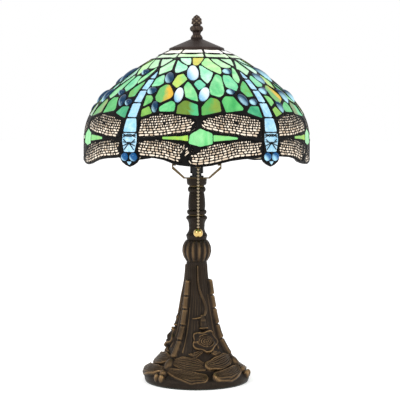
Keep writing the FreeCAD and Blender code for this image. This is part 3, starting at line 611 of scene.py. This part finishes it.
# the pattern of one fifth, in degrees and mm down from the crown; after a pane's outline come its tint, the
# tint of its streaks and how far these keep to the right
panes = {
    "pale_mint_glass": [
        ([(27, 31), (40, 31), (34.5, 48)], (172, 228, 178), (205, 240, 205), 0),
        ([(-26.5, 34), (-24, 58.5), (-27.5, 62.5), (-32, 68), (-35.5, 53.5), (-30, 40)], (150, 222, 160),
         (196, 238, 196), 0),
        ([(-22.4, 35.5), (-17, 43.5), (-11.5, 49.5), (-10.8, 54.5), (-11.3, 58.5), (-16.8, 64.5), (-18.8, 64),
          (-20.5, 56), (-21.3, 45)], (138, 220, 178), (196, 238, 216), 0),
        ([(-20.5, 29.5), (-9.4, 29), (-8.6, 38), (-8.8, 46), (-10.6, 46), (-14, 41.5), (-17.5, 36.5)],
         (168, 232, 196), (205, 242, 214), 0),
        ([(15, 32), (22.3, 31.5), (24.5, 36.5), (27.6, 43), (30.3, 48.5), (29.5, 51.5), (25.8, 53),
          (21.3, 52), (18, 43.5)], (158, 226, 160), (196, 238, 190), 0),
        ([(0.4, 50), (2.3, 50), (4.2, 54), (10.2, 65.5), (7.3, 79), (4.8, 87.5), (2.6, 80.5), (1.3, 75),
          (1.1, 60)], (130, 214, 170), (190, 236, 210), 0),
        ([(-27.7, 70.5), (-26.8, 74), (-24.9, 87.5), (-26.9, 92), (-31.7, 92.5), (-31.9, 78), (-30.3, 73.5)],
         (104, 202, 146), (160, 226, 178), 0)],
    "amber_glass": [([(-5.9, 29), (5.2, 29), (3.2, 34.5), (0, 43), (-1.5, 47), (-3.5, 47.5), (-5.1, 44.5)],
                     (206, 190, 62), (160, 214, 110), 0.35)],
    "lime_glass": [
        ([(8, 30.5), (11.2, 29.5), (14.3, 40), (18.7, 53), (17.2, 64), (16, 67.5), (13, 63), (9, 57),
          (3, 45.5), (3.4, 42), (6, 35.5)], (150, 222, 140), (190, 232, 160), 0),
        ([(-12.5, 68.5), (-9.8, 77), (-9.2, 80), (-10.9, 86), (-14.4, 96), (-17.9, 88.5), (-17, 78),
          (-16.2, 71.5)], (186, 208, 84), (126, 204, 118), 0.6),
        ([(-6.5, 168.5), (-6.5, 174.5), (-10, 173), (-18, 172), (-18, 170.5), (-10, 170)], (104, 190, 108),
         (158, 196, 70), 0.2),
        ([(6, 168.5), (6, 175), (12, 173.5), (17, 172.5), (17, 171.5), (12, 169.8)], (112, 200, 124),
         (144, 206, 110), 0.2)],
    "green_glass": [
        ([(31, 53.5), (31.8, 56), (31.3, 64), (30.3, 73), (29.1, 80), (26.6, 86.5), (25.4, 83), (25.3, 76),
          (26.7, 69), (28.9, 61)], (112, 204, 138), (166, 230, 170), 0),
        ([(12.4, 70), (14.2, 71), (15.5, 75), (14.8, 90), (14.2, 102), (12.8, 109), (10.5, 113.5), (6.2, 109),
          (6, 97), (7.8, 86), (10.2, 77)], (88, 192, 122), (144, 220, 154), 0),
        ([(14.3, 113.5), (18.4, 114), (22, 131), (21.7, 134), (12.8, 137), (11.7, 121), (13, 116)],
         (58, 160, 84), (100, 194, 112), 0),
        ([(5.6, 116), (8.6, 118), (9.9, 122), (9.9, 136), (0.7, 141.5), (0.6, 130.5), (3, 122)],
         (70, 164, 82), (126, 150, 52), 0.7),
        ([(-7.9, 86), (-6.2, 90), (-3.8, 99), (-2.5, 108), (-1.8, 120.5), (-5, 117.5), (-8, 113.5),
          (-9.8, 95), (-9, 90)], (86, 188, 118), (146, 218, 148), 0),
        ([(-31.6, 111.5), (-28.6, 112), (-27.3, 116), (-27.4, 122), (-30.9, 127.5)], (84, 172, 92),
         (130, 200, 118), 0),
        ([(-15.9, 121), (-14.5, 122.5), (-13.6, 128), (-13.8, 135.5), (-20.9, 135.5), (-21.3, 130),
          (-19.3, 125.5)], (68, 176, 104), (118, 206, 136), 0),
        ([(-0.5, 160.5), (4.9, 166.5), (4.9, 178), (-0.5, 181.5), (-5.5, 177.5), (-5, 168)], (92, 190, 112),
         (146, 218, 150), 0)],
    "teal_glass": [
        ([(0, 81.5), (3.2, 90.5), (2.6, 94), (-0.8, 100.5), (-3.5, 89.5), (-2.2, 84.5)], (66, 178, 140),
         (124, 212, 176), 0),
        ([(18.5, 71), (22.8, 72), (24.9, 88.5), (24.5, 94), (21.9, 102), (19.2, 98), (16.8, 95), (16.6, 85),
          (17.4, 76)], (82, 190, 138), (140, 220, 166), 0),
        ([(27.1, 129.5), (31.6, 129.5), (31.6, 144.5), (28.6, 142), (24.4, 137.5)], (38, 142, 100),
         (82, 182, 128), 0)],
    "olive_glass": [
        ([(31.4, 83.5), (32, 88), (31.8, 98), (31.4, 111), (27.8, 112.5), (25.5, 102.5), (26.8, 95),
          (29, 88.5)], (102, 164, 62), (84, 190, 122), 0),
        ([(-9.1, 121), (-7.6, 120.5), (-2, 127), (-1.6, 142), (-6, 140.2), (-11.9, 138.8), (-11.8, 128)],
         (98, 126, 34), (74, 186, 126), 0.85),
        ([(-22.2, 91.5), (-19.9, 92), (-18, 98), (-16.2, 106), (-16.1, 111), (-16.9, 115), (-21.9, 122),
          (-24.3, 119), (-25.6, 113), (-25, 97)], (96, 176, 96), (214, 172, 40), 0.95),
        ([(-27.9, 129.5), (-25.4, 138.5), (-30.4, 143), (-31, 134)], (104, 164, 70), (150, 196, 90), 0)],
    "body_glass": [(outline, (138, 192, 221), (184, 221, 240), 0) for outline in (
        [(36, 61), (38.2, 76), (33.8, 76)], [(33.8, 79.5), (38.2, 79.5), (38.2, 99), (33.8, 99)],
        [(33.7, 102), (38.3, 102), (38.3, 121.5), (33.7, 121.5)],
        [(33.4, 124), (38.6, 124), (38.6, 144), (33.4, 144)],
        [(33.2, 146.5), (38.8, 146.5), (39.5, 156), (39.7, 163.5), (32.3, 163.5), (32.5, 156)],
        [(31.9, 165.5), (40.1, 165.5), (40.2, 176), (39, 189), (33, 189), (31.8, 176)],
        [(34.6, 201.5), (37.4, 201.5), (36, 206)])],
    "crown_cream_glass": [([(start + 2.6, 2.5), (start + 33.4, 2.5), (start + 34, 12.5), (start + 2, 12.5)],
                           (244, 240, 222), (255, 255, 250), 0) for start in (-27, 9)],
    "crown_mint_glass": [([(start + 2, 16), (start + 34, 16), (start + 34.4, 25), (start + 1.6, 25)],
                          (190, 234, 176), (222, 246, 210), 0) for start in (-28, 8)],
}
jewels = {  # angle, mm down, width, length, tilt with the top to the left
    "white_jewels": [(-5.2, 65, 14.5, 34, 4), (2.2, 108.5, 12, 25, -15), (-12.3, 109.5, 11, 26, -2)],
    "blue_jewels": [(-22, 75.5, 11.5, 23, 11), (23.1, 62.5, 12, 10, 0), (18.1, 104.6, 11, 8.5, -12),
                    (24, 117.8, 10.5, 20, 17), (29.9, 121.8, 11, 9.5, 0), (-29.8, 102, 13, 12, 0),
                    (-24.3, 129, 8, 17.5, 9)],
    "eye_jewels": [(33.5, 195.5, 10.5, 10, 0), (38.5, 195.5, 10.5, 10, 0)],
}
wings = {
    "upper_wing": [
        ([(-31, 148), (-27, 145), (-24, 141.5), (-20, 138.8), (-14, 140), (-8, 143), (-4, 146.5), (-2.5, 150),
          (-2.3, 154), (-2.5, 159), (-5, 163.5), (-9, 165), (-12, 166), (-17, 168), (-22, 169.3), (-31, 170)],
         (-18, 152.5)),
        ([(0, 156), (0.2, 152), (1, 147.5), (4, 144.5), (8, 142), (13, 139.5), (16, 139), (20, 141),
          (24, 143), (28, 146.5), (31, 149), (31, 171), (23, 170), (16, 167), (10, 165), (5, 162),
          (1.5, 160)], (17, 152))],
    "lower_wing": [
        ([(-31, 174.5), (-27.5, 174.5), (-24, 173.5), (-21.5, 172.5), (-17, 174.5), (-12, 175.5), (-7, 177.5),
          (-5.5, 181), (-3.5, 184.5), (-5, 189), (-6, 192.5), (-8, 196), (-8.8, 201), (-10, 202),
          (-13, 200.5), (-17, 197), (-20, 196), (-23, 195), (-27, 194.5), (-31, 193)], None),
        ([(31, 176), (27, 176), (23.5, 174), (20, 174), (15, 176), (9, 177.5), (5, 179.6), (2.5, 182),
          (0, 184.5), (-1, 189), (-4, 190), (-5.8, 195), (-6.5, 199), (-5, 205), (-1, 206), (3, 204.5),
          (8, 202), (12, 199.5), (16, 196.5), (20, 195.5), (26, 194.5), (31, 193)], None)],
}
rimLine = [(-30.6, 195.5), (-28, 196), (-22, 197), (-18, 199), (-14, 203), (-11, 205.5), (-6, 207),
           (0, 207.8), (5, 206.2), (10, 203), (14, 200.5), (20, 198.5), (27, 197.5), (30.4, 196), (30.6, 199),
           (31.6, 202.5), (33.6, 206), (36, 208.4), (38.4, 206), (40.4, 202.5), (41.3, 199)]


# one soldered lattice, with a rounded bead between all the openings
lead = {"bead": 1.15, "edge": -0.4, "back": -2.5, "round": 1.55, "rings": (0.6, 1.35), "crown": 0.8,
        "disc": 45.0, "cell": 0.8, "clear": 0.5, "rimClear": 0.6}


def onDisc(angle, along):
    # the dome rolled out flat round its crown
    turn = math.radians(angle)
    return tuple(Vector((math.sin(turn), -math.cos(turn))) * (along + lead["disc"]))


def offDisc(v):
    return math.degrees(math.atan2(v[0], -v[1])), math.hypot(*v) - lead["disc"]


def nearest(points, loops):
    # how far each point is from the closest loop
    points = np.array(points)
    starts = np.concatenate([np.array(loop) for loop in loops])
    ends = np.concatenate([np.roll(np.array(loop), -1, axis=0) for loop in loops])
    runs = ends - starts
    best = np.full(len(points), 1e9)
    for at in range(0, len(points), 400):
        arms = points[at:at + 400, None, :] - starts[None]
        t = np.clip((arms * runs).sum(2) / np.maximum((runs * runs).sum(1), 1e-9), 0, 1)
        best[at:at + 400] = np.sqrt(((arms - runs * t[..., None]) ** 2).sum(2)).min(1)
    return best


def turned(points, turn):
    c, s = math.cos(math.radians(turn)), math.sin(math.radians(turn))
    return [(x * c - y * s, x * s + y * c) for x, y in points]


def latticePoints():
    # the openings of one fifth, its rim and crown, and the points between the openings, each with its bead
    outlines = [fine(soften(grown(pane[0], name))) for name, group in panes.items() for pane in group]
    outlines += [ovalOutline(a, s, w + 0.4, l + 0.4, tilt) for group in jewels.values() for a, s, w, l,
                 tilt in group]
    outlines += [fine(soften(wing[0])) for group in wings.values() for wing in group]
    loops = [anticlockwise([onDisc(*p) for p in outline]) for outline in outlines]
    rim = [onDisc(*p) for p in rimLine]
    crown = [onDisc(fifth * k / 12 - fifth / 2, lead["crown"]) for k in range(12)]
    around = [turned(loop, turn) for loop in loops + [crown] for turn in (-fifth, 0, fifth)]
    rims = [turned(rim, -fifth) + rim + turned(rim, fifth)]
    extra = []
    for loop in loops:
        line = np.array(loop)
        along = np.roll(line, -1, axis=0) - np.roll(line, 1, axis=0)
        size = np.maximum(np.linalg.norm(along, axis=1), 1e-6)[:, None]
        out = np.stack([along[:, 1], -along[:, 0]], 1) / size
        for ring in lead["rings"]:
            extra += [tuple(p) for p in line + out * ring]
    keep, taken = [], set()
    for point, gap, rimGap in zip(extra, nearest(extra, around), nearest(extra, rims)):
        angle, along = offDisc(point)
        cell = (round(point[0] / lead["cell"]), round(point[1] / lead["cell"]))
        if gap > lead["clear"] and abs(angle) <= fifth / 2 + 3 and along > 2 and cell not in taken:
            taken.add(cell)
            if -fifth / 2 <= angle < fifth / 2 and rimGap > lead["rimClear"]:
                keep.append((point, min(gap, rimGap)))
    return loops, rim, crown, keep


def ringAdded(points, faces, loop):
    faces.append(list(range(len(points), len(points) + len(loop))))
    points += loop


def buildLead():
    loops, rim, crown, keep = latticePoints()
    points, rings, beads, outer, inner = [], [], {}, [], []
    for sector in range(dome["sectors"]):
        for loop in loops:
            ringAdded(points, rings, turned(loop, sector * fifth))
        outer += turned(rim, sector * fifth)
        inner += turned(crown, sector * fifth)
        beads.update({len(points) + n: bead for n, (_, bead) in enumerate(keep)})
        points += turned([point for point, _ in keep], sector * fifth)
    for loop in (outer, inner):
        ringAdded(points, rings, loop)
    rings = [rings[-1], rings[-2], *rings[:-2]]
    verts, _, tris, source, _, owners = delaunay_2d_cdt([Vector(p) for p in points], [], rings, 0, 1e-4)
    rimFace = 1
    tris = [tri for tri, owner in zip(tris, owners) if owner == [rimFace]]
    places = [offDisc(v) for v in verts]
    heights = [max((beads.get(i, 0.0) for i in ids), default=0.0) for ids in source]

    def bead(i):
        rise = math.sqrt(max(0.0, 1 - (1 - min(heights[i] / lead["round"], 1)) ** 2))
        return onShade(*places[i], lead["edge"] + (lead["bead"] - lead["edge"]) * rise)

    shell, faces, _ = skinOver(verts, tris, bead, lambda i: onShade(*places[i], lead["back"]))
    piece("lead_lattice", shell, faces, "lead", "shade", "lead", ["lead_came"])
    print("lead lattice", len(faces))


def skinOver(verts, tris, top, bottom):
    # a closed shell from flat triangles: their top, their underside and the walls between
    used = sorted({i for tri in tris for i in tri})
    index = {v: n for n, v in enumerate(used)}
    tris = [[index[i] for i in anticlockwiseTri(verts, list(tri))] for tri in tris]
    count = len(used)
    edges = {edge for tri in tris for edge in pairs(tri)}
    faces = tris + [[i + count for i in tri[::-1]] for tri in tris]
    faces += [(b, a, a + count, b + count) for a, b in edges if (b, a) not in edges]
    return [top(i) for i in used] + [bottom(i) for i in used], faces, used


def anticlockwiseTri(verts, tri):
    return tri if areaOf([verts[i] for i in tri]) > 0 else tri[::-1]


buildLead()


# flat pieces of sheet glass let into the lead; each name has its slot and the node it replaces
sheet = {"grip": 0.6, "front": 0.3, "back": -2.0, "spread": 0.10, "frontSpread": 0.03}
paneSlot = {tint + "_glass": ("glass_" + tint, "glass_" + tint)
            for tint in ("amber", "lime", "green", "teal", "olive")}
paneSlot.update({
    "pale_mint_glass": ("glass_mint", "glass_pale_mint"), "body_glass": ("glass_blue", "body_glass"),
    "crown_cream_glass": ("glass_cream", "glass_crown_cream"),
    "crown_mint_glass": ("glass_mint", "glass_crown_mint")})


def spun(points, sector):
    return [Matrix.Rotation(math.radians(fifth * sector), 4, "Z") @ p for p in points]


def flatPane(outline):
    # the outline's corners brought into one plane, and grown to reach under the lead
    normal = outward(*middleOf(outline))
    edge = [onShade(*p) for p in outline]
    centre = sum(edge, Vector()) / len(edge)
    flat = []
    for corner in edge:
        arm = corner - centre
        arm -= normal * arm.dot(normal)
        flat.append(centre + arm * (1 + sheet["grip"] * mm / arm.length))
    return flat, normal, centre


def varied(colour, spread):
    # the same tint from another part of the sheet
    bright = 1 + random.uniform(-spread, spread)
    shifts = [1 + random.uniform(-spread, spread) * 0.5 for _ in colour]
    return tuple(max(0.0, min(1.0, part * bright * shift)) for part, shift in zip(colour, shifts))


def buildPanes(name, group):
    verts, faces, tints, streaks, sides, leans = [], [], [], [], [], []
    for outline, tint, streak, keeps in group:
        flat, normal, centre = flatPane(fine(soften(grown(outline, name)), 6))
        across = Vector((0, 0, 1)).cross(normal).normalized()
        reach = [(p - centre).dot(across) for p in flat]
        side = [(r - min(reach)) / (max(reach) - min(reach)) for r in reach]
        facing = sum((a.cross(b) for a, b in pairs(flat)), Vector()).dot(normal)
        for sector in range(dome["sectors"]):
            spread = sheet["spread"] if sector else sheet["frontSpread"]
            front = list(range(len(verts), len(verts) + len(flat)))[::1 if facing > 0 else -1]
            rear = [i + len(flat) for i in front]
            for lift in (sheet["front"], sheet["back"]):
                verts += spun([p + normal * lift * mm for p in flat], sector)
            faces += [front, rear[::-1]]
            faces += [(a, c, d, b) for (a, b), (c, d) in zip(pairs(front), pairs(rear))]
            tints += [varied(linear(*tint), spread)] * (2 * len(flat))
            streaks += [varied(linear(*streak), spread)] * (2 * len(flat))
            sides += side * 2
            leans += [float(keeps)] * (2 * len(flat))
    slot, node = paneSlot[name]
    made = piece(name, verts, faces, "blue" if name == "body_glass" else "sheet", "shade", slot, [node],
                 smooth=False)
    colourBy(made, tint=tints, streak=streaks, side=sides, lean=leans)


for name, group in panes.items():
    buildPanes(name, group)
print("panes set")


# pressed jewels; a look is its tint, the tint of its painted crescent (a painted highlight on the blue
# jewels, a painted bluish shade on the white ones) and where that begins, its slot and the node it replaces
# the fifths listed last hold white jewels painted dark blue, as painted shade where the view grazes them
jewelShape = {"dome": 4.3, "base": -0.8, "back": -3.4, "rings": 6, "around": 22, "grip": 1.2,
              "shadedSideSectors": (1, 4)}
jewelLook = {"white_jewels": ((218, 232, 244), (132, 182, 212), 0.5, "jewel_white", "jewels_white"),
             "blue_jewels": ((3, 50, 80), (168, 214, 228), 0.56, "jewel_blue", "jewels_blue"),
             "eye_jewels": ((10, 78, 128), (160, 212, 236), 0.56, "jewel_blue", "eye_jewels")}


def jewelStack():
    # rings from the front's top to the back's: how wide each is, and how high
    rings, middle = jewelShape["rings"], jewelShape["base"]
    arc = [(math.cos(math.pi / 2 * k / rings), math.sin(math.pi / 2 * k / rings)) for k in range(rings)]
    stack = [(wide, middle + (jewelShape["dome"] - middle) * high) for wide, high in arc[::-1]]
    return stack + [(wide, middle + (jewelShape["back"] - middle) * high) for wide, high in arc[1:]]


def buildJewels(name, group):
    verts, faces, sides, tints, streaks = [], [], [], [], []
    around, stack, grip = jewelShape["around"], jewelStack(), jewelShape["grip"]
    begins, slot, node = jewelLook[name][2:]
    for angle, along, width, length, tilt in group:
        edge = ovalOutline(angle, along, width + grip, length + grip, tilt, around)
        for sector in range(dome["sectors"]):
            first = len(verts)
            for shrink, rise in stack:
                ring = [between((angle, along), point, shrink) for point in edge]
                verts += spun([onShade(*point, rise) for point in ring], sector)
                # the painted crescent of light and shade lies towards the lower left of each jewel
                sides += [((angle - a) * 1.875 + (s - along) * 0.55) / (max(width, length) * 0.84) for a,
                          s in ring]
            front = len(verts)
            verts += spun([onShade(angle, along, jewelShape[end]) for end in ("dome", "back")], sector)
            sides += [0.0, 0.0]
            rings = [list(range(n, n + around)) for n in range(first, front, around)]
            for upper, lower in zip(rings, rings[1:]):
                faces += [(a, c, d, b) for (a, b), (c, d) in zip(pairs(upper), pairs(lower))]
            faces += [(front, a, b) for a, b in pairs(rings[0])]
            faces += [(front + 1, b, a) for a, b in pairs(rings[-1])]
            # painted shade: in the two side fifths the white jewels take the blue jewels' dark look
            dark = name == "white_jewels" and sector in jewelShape["shadedSideSectors"]
            tint, bright = jewelLook["blue_jewels" if dark else name][:2]
            tints += [linear(*tint)] * (len(verts) - first)
            streaks += [linear(*bright)] * (len(verts) - first)
    made = piece(name, verts, faces, "jewel", "shade", slot, [node])
    # how far across each jewel the painted crescent reaches
    sides = [min(1.0, max(0.0, (0.5 + side - begins) / 0.36)) for side in sides]
    colourBy(made, tint=tints, streak=streaks, side=sides)


for name, group in jewels.items():
    buildJewels(name, group)
print("jewels set")


# wings: cream cells under a pierced filigree
wingShape = {"pitch": 3.3, "gap": 1.15, "longCell": 7.0, "shortCell": 3.1, "taper": 0.95, "edge": 1.0,
             "eye": 2.1,
             "glass": (0.3, -2.0), "wire": (0.65, 0.15), "pale": (232, 218, 198), "tan": (188, 166, 140)}


def crossings(outline, angle):
    # where a line of one angle goes into the outline and out of it
    cuts = []
    for (a0, s0), (a1, s1) in pairs(outline):
        if (a0 - angle) * (a1 - angle) < 0:
            cuts.append(s0 + (s1 - s0) * (angle - a0) / (a1 - a0))
    return (min(cuts), max(cuts)) if len(cuts) > 1 else None


def wingCells(outline, eye):
    # rows of cells that follow the wing's lower edge, longer near that edge
    low, high = min(a for a, _ in outline), max(a for a, _ in outline)
    tall = max(s for _, s in outline) - min(s for _, s in outline)
    wide = degreeAt(middleOf(outline)[1])
    pitch, gap, border = wingShape["pitch"], wingShape["gap"], wingShape["edge"]
    cells, row = [], 0
    while row * pitch < tall:
        angle = low + random.uniform(0.2, 1.2)
        while angle < high:
            size = max(wingShape["shortCell"], wingShape["longCell"] - row * wingShape["taper"])
            size *= random.uniform(0.6, 1.35) / wide
            ends = [crossings(outline, angle + 0.1), crossings(outline, angle + size - 0.1)]
            if all(ends):
                cell, heights = [], []
                for at, (upper, lower) in zip((angle, angle + size - gap / wide), ends):
                    foot = lower - border - row * pitch + random.uniform(-0.3, 0.3)
                    head = max(foot - pitch + gap + random.uniform(-0.2, 0.2), upper + border)
                    heights.append(foot - head)
                    cell += [(at + random.uniform(-0.12, 0.12), end) for end in (foot, head)]
                x, y = middleOf(cell)
                clear = eye is None or math.hypot((x - eye[0]) * wide, y - eye[1]) > wingShape["eye"]
                even = abs(ends[0][1] - ends[1][1]) < 5.5
                if min(heights) > 0.8 and clear and even and angle + size < high - 0.2:
                    cells.append(soften([cell[0], cell[2], cell[3], cell[1]], 0.7 if row < 3 else 0.9))
            angle += size
        row += 1
    return cells


def buildWings(name, group):
    shells = {"glass": ([], []), "wire": ([], [])}
    tints = []
    for outline, eye in group:
        edge = fine(soften(outline), 2.5)
        wide = degreeAt(middleOf(outline)[1])
        points, rings = [], []
        for loop in [edge] + wingCells(outline, eye):
            ringAdded(points, rings, anticlockwise([(a * wide, -s) for a, s in loop]))
        verts, _, tris, _, _, owners = delaunay_2d_cdt([Vector(p) for p in points], [], rings, 0, 1e-4)
        places = [(v[0] / wide, -v[1]) for v in verts]
        chosen = {"glass": [t for t, o in zip(tris, owners) if 0 in o],
                  "wire": [t for t, o in zip(tris, owners) if o == [0]]}
        cellOf = {i: max(owner) for tri, owner in zip(tris, owners) if len(owner) > 1 for i in tri}
        for sector in range(dome["sectors"]):
            shades = {}
            for kind, (shellVerts, shellFaces) in shells.items():
                top, foot = wingShape[kind]
                solid, faces, used = skinOver(verts, chosen[kind], lambda i: onShade(*places[i], top),
                                              lambda i: onShade(*places[i], foot))
                shellFaces += [[i + len(shellVerts) for i in face] for face in faces]
                shellVerts += spun(solid, sector)
                if kind == "glass":
                    tint = [cellTint(shades, cellOf.get(i, 0)) for i in used]
                    tints += tint * 2
    pair = name.split("_")[0]
    made = piece(name + "_cells", *shells["glass"], "cream", "shade", "glass_wing", ["wing_glass_" + pair])
    colourBy(made, tint=tints, streak=[tuple(min(1.0, part * 1.15) for part in tint) for tint in tints])
    piece(name + "_filigree", *shells["wire"], "lead", "shade", "lead", ["wing_filigree"])
    print(name, len(shells["wire"][1]))


def cellTint(shades, cell):
    # one cream for each cell, most of them pale
    if cell not in shades:
        warm = random.random() ** 1.6
        pale, tan = linear(*wingShape["pale"]), linear(*wingShape["tan"])
        shades[cell] = tuple(a + (b - a) * warm for a, b in zip(pale, tan))
    return shades[cell]


for name, group in wings.items():
    buildWings(name, group)


# wires over the bodies, in mm from each band's middle: how far down it is, strokes on one side, rings
bodyWire = {"thick": 1.0, "rise": (0.35, 1.05), "middle": 36, "bands": [
    (168.4, [[(4.6, 0), (10.2, 2.4 * k)] for k in (-1, 0, 1)], [(x, 1.3) for x in (-3.1, 0, 3.1)]),
    (178.2, [[(1.3, 0.9), (7.6, 8.2)], [(1.7, 0.2), (9.4, 3.4)], [(1.7, -0.4), (9.8, -1.8)],
             [(4.6, -1.2), (9.2, -5.0)]],
     [(x, 1.2) for x in (-1.3, 1.3)])]}


def bodyFiligree():
    verts, faces = [], []
    for down, strokes, hoops in bodyWire["bands"]:
        lines = strokes + [[(-x, y) for x, y in stroke] for stroke in strokes]
        for x, size in hoops:
            hoop = [(x + size * math.cos(k * math.pi / 5),
                     size * math.sin(k * math.pi / 5)) for k in range(10)]
            lines += pairs(hoop)
        wide = degreeAt(down)
        for (x0, y0), (x1, y1) in lines:
            half = bodyWire["thick"] / 2 / math.hypot(x1 - x0, y1 - y0)
            sx, sy = (y0 - y1) * half, (x1 - x0) * half
            ends = [(x0 - sx, y0 - sy), (x1 - sx, y1 - sy), (x1 + sx, y1 + sy), (x0 + sx, y0 + sy)]
            block = [onShade(bodyWire["middle"] + x / wide, down + y,
                             rise) for rise in bodyWire["rise"] for x, y in ends]
            for sector in range(dome["sectors"]):
                n = len(verts)
                verts += spun(block, sector)
                faces += [(n, n + 1, n + 2, n + 3), (n + 7, n + 6, n + 5, n + 4)]
                faces += [(n + k, n + 4 + k, n + 4 + (k + 1) % 4, n + (k + 1) % 4) for k in range(4)]
    piece("body_filigree_wires", verts, faces, "lead", "shade", "lead", ["body_filigree"], smooth=False)


bodyFiligree()
print("filigree laid")


lamps = {"key": ((-1.3, -1.5, 1.5), 0.9, 15), "fill": ((1.6, -1.2, 0.9), 0.9, 8),
         "top": ((0, 0.3, 2.0), 1.2, 3)}


def aimed(made, target):
    made.rotation_euler = (Vector(target) - made.location).to_track_quat("-Z", "Y").to_euler()


def studio():
    # a white floor and sky, and soft lamps (place, size, watts)
    bpy.ops.mesh.primitive_plane_add(size=40, location=(0, 0, 0))
    floor = bpy.context.object
    floor.name = "floor"
    s = Shader("white floor", roughness=0.9, specularIORLevel=0.0)
    white = s.mix(s.noise(3, 2), (0.9, 0.9, 0.9), (0.93, 0.93, 0.93))
    s.set(baseColor=white, emissionColor=white, emissionStrength=0.35)
    floor.data.materials.append(s.material)
    world = bpy.data.worlds.new("studio")
    bpy.context.scene.world = world
    world.use_nodes = True
    world.node_tree.nodes["Background"].inputs["Color"].default_value = (1, 1, 1, 1)
    world.node_tree.nodes["Background"].inputs["Strength"].default_value = 1.0
    for name, (place, size, power) in lamps.items():
        bpy.ops.object.light_add(type="AREA", location=place)
        lamp = bpy.context.object
        lamp.name, lamp.data.size, lamp.data.energy = name, size, power
        aimed(lamp, (0, 0, 0.25))
    bpy.context.scene.view_settings.view_transform = "Standard"


view = {"distance": 1.68, "height": 0.357, "side": 0.0045, "aim": 0.2497, "lens": 110.0}


def camera():
    data = bpy.data.cameras.new("view")
    made = bpy.data.objects.new("view", data)
    bpy.context.collection.objects.link(made)
    data.lens, data.sensor_width = view["lens"], 36
    made.location = (view["side"], -view["distance"], view["height"])
    aimed(made, (view["side"], 0, view["aim"]))
    bpy.context.scene.camera = made


studio()
camera()
